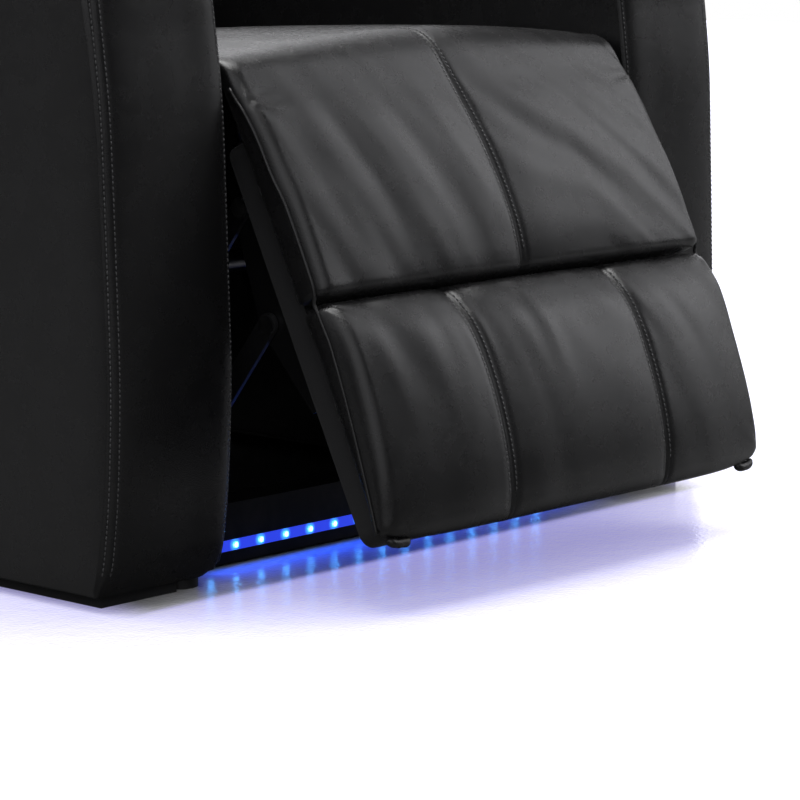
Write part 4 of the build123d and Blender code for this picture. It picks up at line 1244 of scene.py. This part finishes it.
# The cushions' sides lie lower than their middles, and are drawn in
CUSHION_EDGE_DROP = 0.012
CUSHION_EDGE_PULL = 0.006
PANEL_STEPS = (0.02, 0.02, 0.006)
PANEL_FINE_STEP = 0.004
PANEL_RIPPLE = 0.0008


def cushion_cover(name, low, high, front, crown):
    """Cover of one cushion before it is filled, with the points near its flat rear in the held group."""

    def shape(x, up, depth):
        across = 1 - abs(x / BACK_HALF) ** 4
        share = (up - low) / (high - low)
        bulge = 0.6 * crown * across * math.sin(math.pi * share) ** 0.8
        edge = CUSHION_EDGE_DROP * (1 - across)
        out = BACK_SIDE_FRONT + (front - edge + bulge - BACK_SIDE_FRONT) * depth / COVER_DEEP
        return back_place(x, up + CUSHION_EDGE_PULL * (1 - across) * (1 - 2 * share), out)

    across, up = [
        stations(start, end, 0.009, [(start, 0.02), (end, 0.02)], 0.004)
        for start, end in ((-BACK_HALF, BACK_HALF), (low, high))
    ]
    piece = rounded_block(
        name + "_cover", across, up, COVER_STATIONS, CUSHION_ROUND, shape, material("Black leather"),
    )
    held = piece.vertex_groups.new(name="held")
    normal = back_place(0, 0, 1) - back_place(0, 0, 0)
    base = back_place(0, 0, BACK_SIDE_FRONT)
    for vertex in piece.data.vertices:
        near = (vertex.co - base).dot(normal) < HELD_DEPTH
        held.add([vertex.index], 1.0 if near else 0.0, "REPLACE")
    return piece


class RECLINER_OT_back_cushions(bpy.types.Operator):
    """Fill the three back cushions"""

    bl_idname = "recliner.back_cushions"
    bl_label = "Back cushions"

    def execute(self, context):
        settings = context.scene.recliner_back
        for name, *sizes in CUSHIONS:
            piece = cushion_cover(name, *sizes)
            settle(piece, settings.pressure, settings.cap)
            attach(piece, "back")
            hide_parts(name)
        return {"FINISHED"}


def panel(name, place, spans, radii, swell, body, *nodes):
    """Tight leather panel with round edges and a slight swell on its outer face."""
    middle = [(low + high) / 2 for low, high in spans]
    half = [(high - low) / 2 for low, high in spans]
    lists = [
        stations(low, high, step, [(low, r * 1.5), (high, r * 1.5)], PANEL_FINE_STEP)
        for (low, high), step, r in zip(spans, PANEL_STEPS, radii)
    ]

    def shape(x, y, z):
        a, b, c = [(value - m) / h for value, m, h in zip((x, y, z), middle, half)]
        fade = (1 - min(abs(a), 1) ** 4) * (1 - min(abs(b), 1) ** 4)
        return place(x, y, z + c * fade * (swell + PANEL_RIPPLE * ripple(x, y, 0.07, 0.1, 4.4)))

    piece = rounded_block(name, *lists, radii, shape, material("Black leather"))
    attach(piece, body)
    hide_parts(*nodes)


class RECLINER_OT_back_shell(bpy.types.Operator):
    """Cover the rear, the sides and the top of the back, and the rear of the base"""

    bl_idname = "recliner.back_shell"
    bl_label = "Back shell"

    def execute(self, context):
        width = (-BACK_HALF, BACK_HALF)
        depth = (-0.0148, 0.0338)
        panel(
            "back_rear_cover", back_place, (width, (0.028, 0.722), (-0.039, -0.0152)), (0.011, 0.011, 0.0095),
            0.003, "back", "back_rear_panel",
        )
        panel(
            "back_tongue_cover", back_place, ((-0.252, 0.252), (-0.05, 0.034), (-0.0385, -0.0165)),
            (0.008, 0.008, 0.008), 0.0, "back",
        )
        for name, side in SIDES:
            panel(
                name + "_back_side_cover", lambda out, up, x: back_place(side * x, up, out),
                (depth, (0.042, 0.688), (0.257, BACK_HALF)), (0.006, 0.008, 0.006), 0.001, "back",
                "back_side_panels",
            )
        panel(
            "back_top_cover", lambda x, out, up: back_place(x, up, out), (width, depth, (0.6885, 0.7062)),
            (0.008, 0.006, 0.006), 0.001, "back", "back_top_panel",
        )
        low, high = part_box("rear_lower_panel")
        panel(
            "rear_lower_cover", lambda x, z, y: Vector((x, y, z)),
            ((low.x + 0.0005, high.x - 0.0005), (low.z, high.z), (low.y, high.y)), (0.004, 0.004, 0.004),
            0.0, "base", "rear_lower_panel",
        )
        return {"FINISHED"}


# Finishes of the CAD parts

def both_sides(*parts):
    return [name + "_" + part for part in parts for name, _ in SIDES]


FINISHES = {
    "Black coated steel": [
        "front_cross_rail", "rear_cross_rail", "seat_front_rail", "seat_rear_rail", "kick_rail",
        "motor_bracket", "back_top_rail",
        *both_sides("side_rail", "side_plate", "back_upright", "footrest_bracket"),
    ],
    "Zinc plated steel": [
        "torque_shaft", "frame_bolts", "board_screws",
        *both_sides("long_link", "crank_link", "cross_link", "front_link"),
    ],
    "Plywood": ["arm_boards"],
    "Black lining cloth": ["footrest_board", "back_board", *both_sides("arm_plinth")],
    "Black plastic": ["floor_glides", "gear_motor", "switch_plate", "power_inlet"],
    "Button plastic": ["open_button", "close_button"],
    "Elastic webbing": ["seat_webbing"],
}


def finish_node(node, name):
    piece = NODES[node]
    piece.data.materials.clear()
    piece.data.materials.append(material(name))


class RECLINER_OT_frame_parts(bpy.types.Operator):
    """Give the metal, wood and plastic parts their finishes"""

    bl_idname = "recliner.frame_parts"
    bl_label = "Frame parts"

    def execute(self, context):
        for name, nodes in FINISHES.items():
            for node in nodes:
                finish_node(node, name)
        return {"FINISHED"}


class RECLINER_OT_lights(bpy.types.Operator):
    """Light the tape and its lamps under the seat"""

    bl_idname = "recliner.lights"
    bl_label = "Rail lights"

    def execute(self, context):
        finish_node("light_strip", "Blue lit tape")
        finish_node("light_chips", "Blue lamps")
        return {"FINISHED"}


# Studio

# Soft places of light that the chair mirrors: setting, turn, height, inner and outer angle in degrees
SOFT_LIGHTS = (
    ("right_light", -19, 27, 9, 27),
    ("rear_light", 50, 4, 20, 43),
    ("left_light", 140, 42, 12, 42),
    ("front_light", -125, 38, 12, 40),
)
# Blue light that the tape throws on the floor: its power, its height and its gap from the tape
GLOW_POWER = 0.16
GLOW_HEIGHT = 0.006
GLOW_GAP = 0.012


def place_object(data, place, ahead, **options):
    """Put a lamp or the camera with its options in the scene, facing ahead."""
    for name, value in options.items():
        setattr(data, name, value)
    made = bpy.data.objects.new(data.name, data)
    made.location = place
    made.rotation_mode = "QUATERNION"
    made.rotation_quaternion = ahead.to_track_quat("-Z", "Y")
    bpy.context.scene.collection.objects.link(made)
    return made


def softbox(tree, direction, *angles):
    """1 within the inner angle round a place of the sky, and 0 beyond the outer one."""
    turn, height, inner, outer = (math.radians(angle) for angle in angles)
    aim = (math.cos(height) * math.cos(turn), math.cos(height) * math.sin(turn), math.sin(height))
    near = add_node(tree, "VectorMath", {0: direction, 1: aim}, operation="DOT_PRODUCT").outputs["Value"]
    return ramp_node(tree, near, math.cos(outer), math.cos(inner), soft=True)


def make_world(settings):
    """White behind the chair. What the chair mirrors is dark in front and bright in four soft places."""
    world = bpy.data.worlds.new("Studio white")
    world.use_nodes = True
    tree = world.node_tree
    direction = add_node(tree, "TexCoord").outputs["Generated"]
    lift = ramp_node(tree, split_node(tree, direction)["Z"], -0.02, 0.05)
    strength = settings.fill_light
    for name, *angles in SOFT_LIGHTS:
        box = softbox(tree, direction, *angles)
        strength = math_node(tree, "MULTIPLY_ADD", box, getattr(settings, name), strength)
    ground = tree.nodes["Background"]
    ground.inputs["Color"].default_value = (0.97, 0.97, 1.0, 1)
    tree.links.new(math_node(tree, "MULTIPLY", strength, lift), ground.inputs["Strength"])
    white = add_node(tree, "Background", {"Color": (1, 1, 1, 1), "Strength": 1.0})
    seen = add_node(tree, "LightPath").outputs["Is Camera Ray"]
    mix = add_node(tree, "MixShader", {0: seen, 1: ground.outputs[0], 2: white.outputs[0]})
    tree.links.new(mix.outputs[0], tree.nodes["World Output"].inputs["Surface"])
    bpy.context.scene.world = world


class RECLINER_OT_studio(bpy.types.Operator):
    """Set up the floor, the lights and the camera"""

    bl_idname = "recliner.studio"
    bl_label = "Studio"

    def execute(self, context):
        scene = context.scene
        settings = scene.recliner_studio
        make_floor(settings)
        half = settings.floor_radius
        corners = [(-half, -half, 0), (half, -half, 0), (half, half, 0), (-half, half, 0)]
        new_object("studio_floor", corners, [(0, 1, 2, 3)], material("Glossy pale floor"))
        make_world(settings)
        place_object(
            bpy.data.lights.new("sky", "SUN"), (0.2, 0.3, 3.2), Vector((-0.12, -0.2, -1)),
            energy=settings.sky_strength, angle=settings.sky_angle,
        )
        low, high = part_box("light_strip")
        front = Vector(((low.x + high.x) / 2, low.y - GLOW_GAP, (low.z + high.z) / 2))
        glow = place_object(
            bpy.data.lights.new("tape_glow", "AREA"), front, Vector((0, -1, -0.5)), shape="RECTANGLE",
            size=high.x - low.x, size_y=GLOW_HEIGHT, energy=GLOW_POWER,
            color=scene.recliner_lights.lamp_colour,
        )
        glow.visible_glossy = False
        scene.view_settings.view_transform = "Standard"
        turn, dip = settings.camera_turn, settings.camera_dip
        ahead = Vector((math.sin(turn) * math.cos(dip), math.cos(turn) * math.cos(dip), -math.sin(dip)))
        scene.camera = place_object(
            bpy.data.cameras.new("camera"), settings.camera_place, ahead, sensor_width=36,
            lens=settings.lens, clip_end=100,
        )
        return {"FINISHED"}


class RECLINER_OT_materials(bpy.types.Operator):
    """Make the shared grain and wear, and every material of the chair"""

    bl_idname = "recliner.materials"
    bl_label = "Materials"

    def execute(self, context):
        scene = context.scene
        make_leather_grain()
        make_fine_texture()
        make_dust_and_wear()
        make_lamp_distance()
        make_leather(scene.recliner_leather)
        make_cloth(
            "Black thread", 2400.0, (0.03, 0.03, 0.031), (0.13, 0.13, 0.134), (0.5, 0.0002),
            Roughness=0.5, Sheen_Weight=0.2, Sheen_Roughness=0.4,
        )
        make_coated_steel()
        make_zinc_steel()
        make_plywood()
        make_cloth(
            "Black lining cloth", 1500.0, (0.006, 0.006, 0.007), (0.02, 0.02, 0.021), (0.6, 0.0004),
            Roughness=0.85, Sheen_Weight=0.15, Sheen_Roughness=0.5,
        )
        make_plastic("Black plastic", (0.014, 0.014, 0.015), (0.024, 0.024, 0.025), 0.5)
        make_plastic("Button plastic", (0.05, 0.05, 0.053), (0.08, 0.08, 0.084), 0.38)
        make_webbing()
        make_lamp(scene.recliner_lights)
        make_tape(scene.recliner_lights)
        return {"FINISHED"}


STEPS = (
    RECLINER_OT_studio,
    RECLINER_OT_materials,
    RECLINER_OT_arms,
    RECLINER_OT_seat_and_calf,
    RECLINER_OT_foot_pad,
    RECLINER_OT_back_cushions,
    RECLINER_OT_back_shell,
    RECLINER_OT_frame_parts,
    RECLINER_OT_lights,
)


class RECLINER_PT_panel(bpy.types.Panel):
    """Buttons and settings of the chair"""

    bl_label = "Recliner"
    bl_space_type = "VIEW_3D"
    bl_region_type = "UI"
    bl_category = "Recliner"

    def draw(self, context):
        for step in STEPS:
            self.layout.operator(step.bl_idname)
        for name in SETTINGS:
            group = getattr(context.scene, name)
            for label in group.bl_rna.properties.keys():
                if label not in ("rna_type", "name"):
                    self.layout.prop(group, label)


SETTINGS = {
    "recliner_leather": LeatherSettings,
    "recliner_leg_rest": LegRestSettings,
    "recliner_arms": ArmSettings,
    "recliner_back": BackSettings,
    "recliner_lights": LightSettings,
    "recliner_studio": StudioSettings,
}


def register():
    for kind in (*SETTINGS.values(), *STEPS, RECLINER_PT_panel):
        bpy.utils.register_class(kind)
    for name, kind in SETTINGS.items():
        setattr(bpy.types.Scene, name, bpy.props.PointerProperty(type=kind))


def unregister():
    for name in SETTINGS:
        delattr(bpy.types.Scene, name)
    for kind in reversed((*SETTINGS.values(), *STEPS, RECLINER_PT_panel)):
        bpy.utils.unregister_class(kind)


def main():
    register()
    for step in STEPS:
        area, name = step.bl_idname.split(".")
        getattr(getattr(bpy.ops, area), name)()


if __name__ == "__main__":
    main()
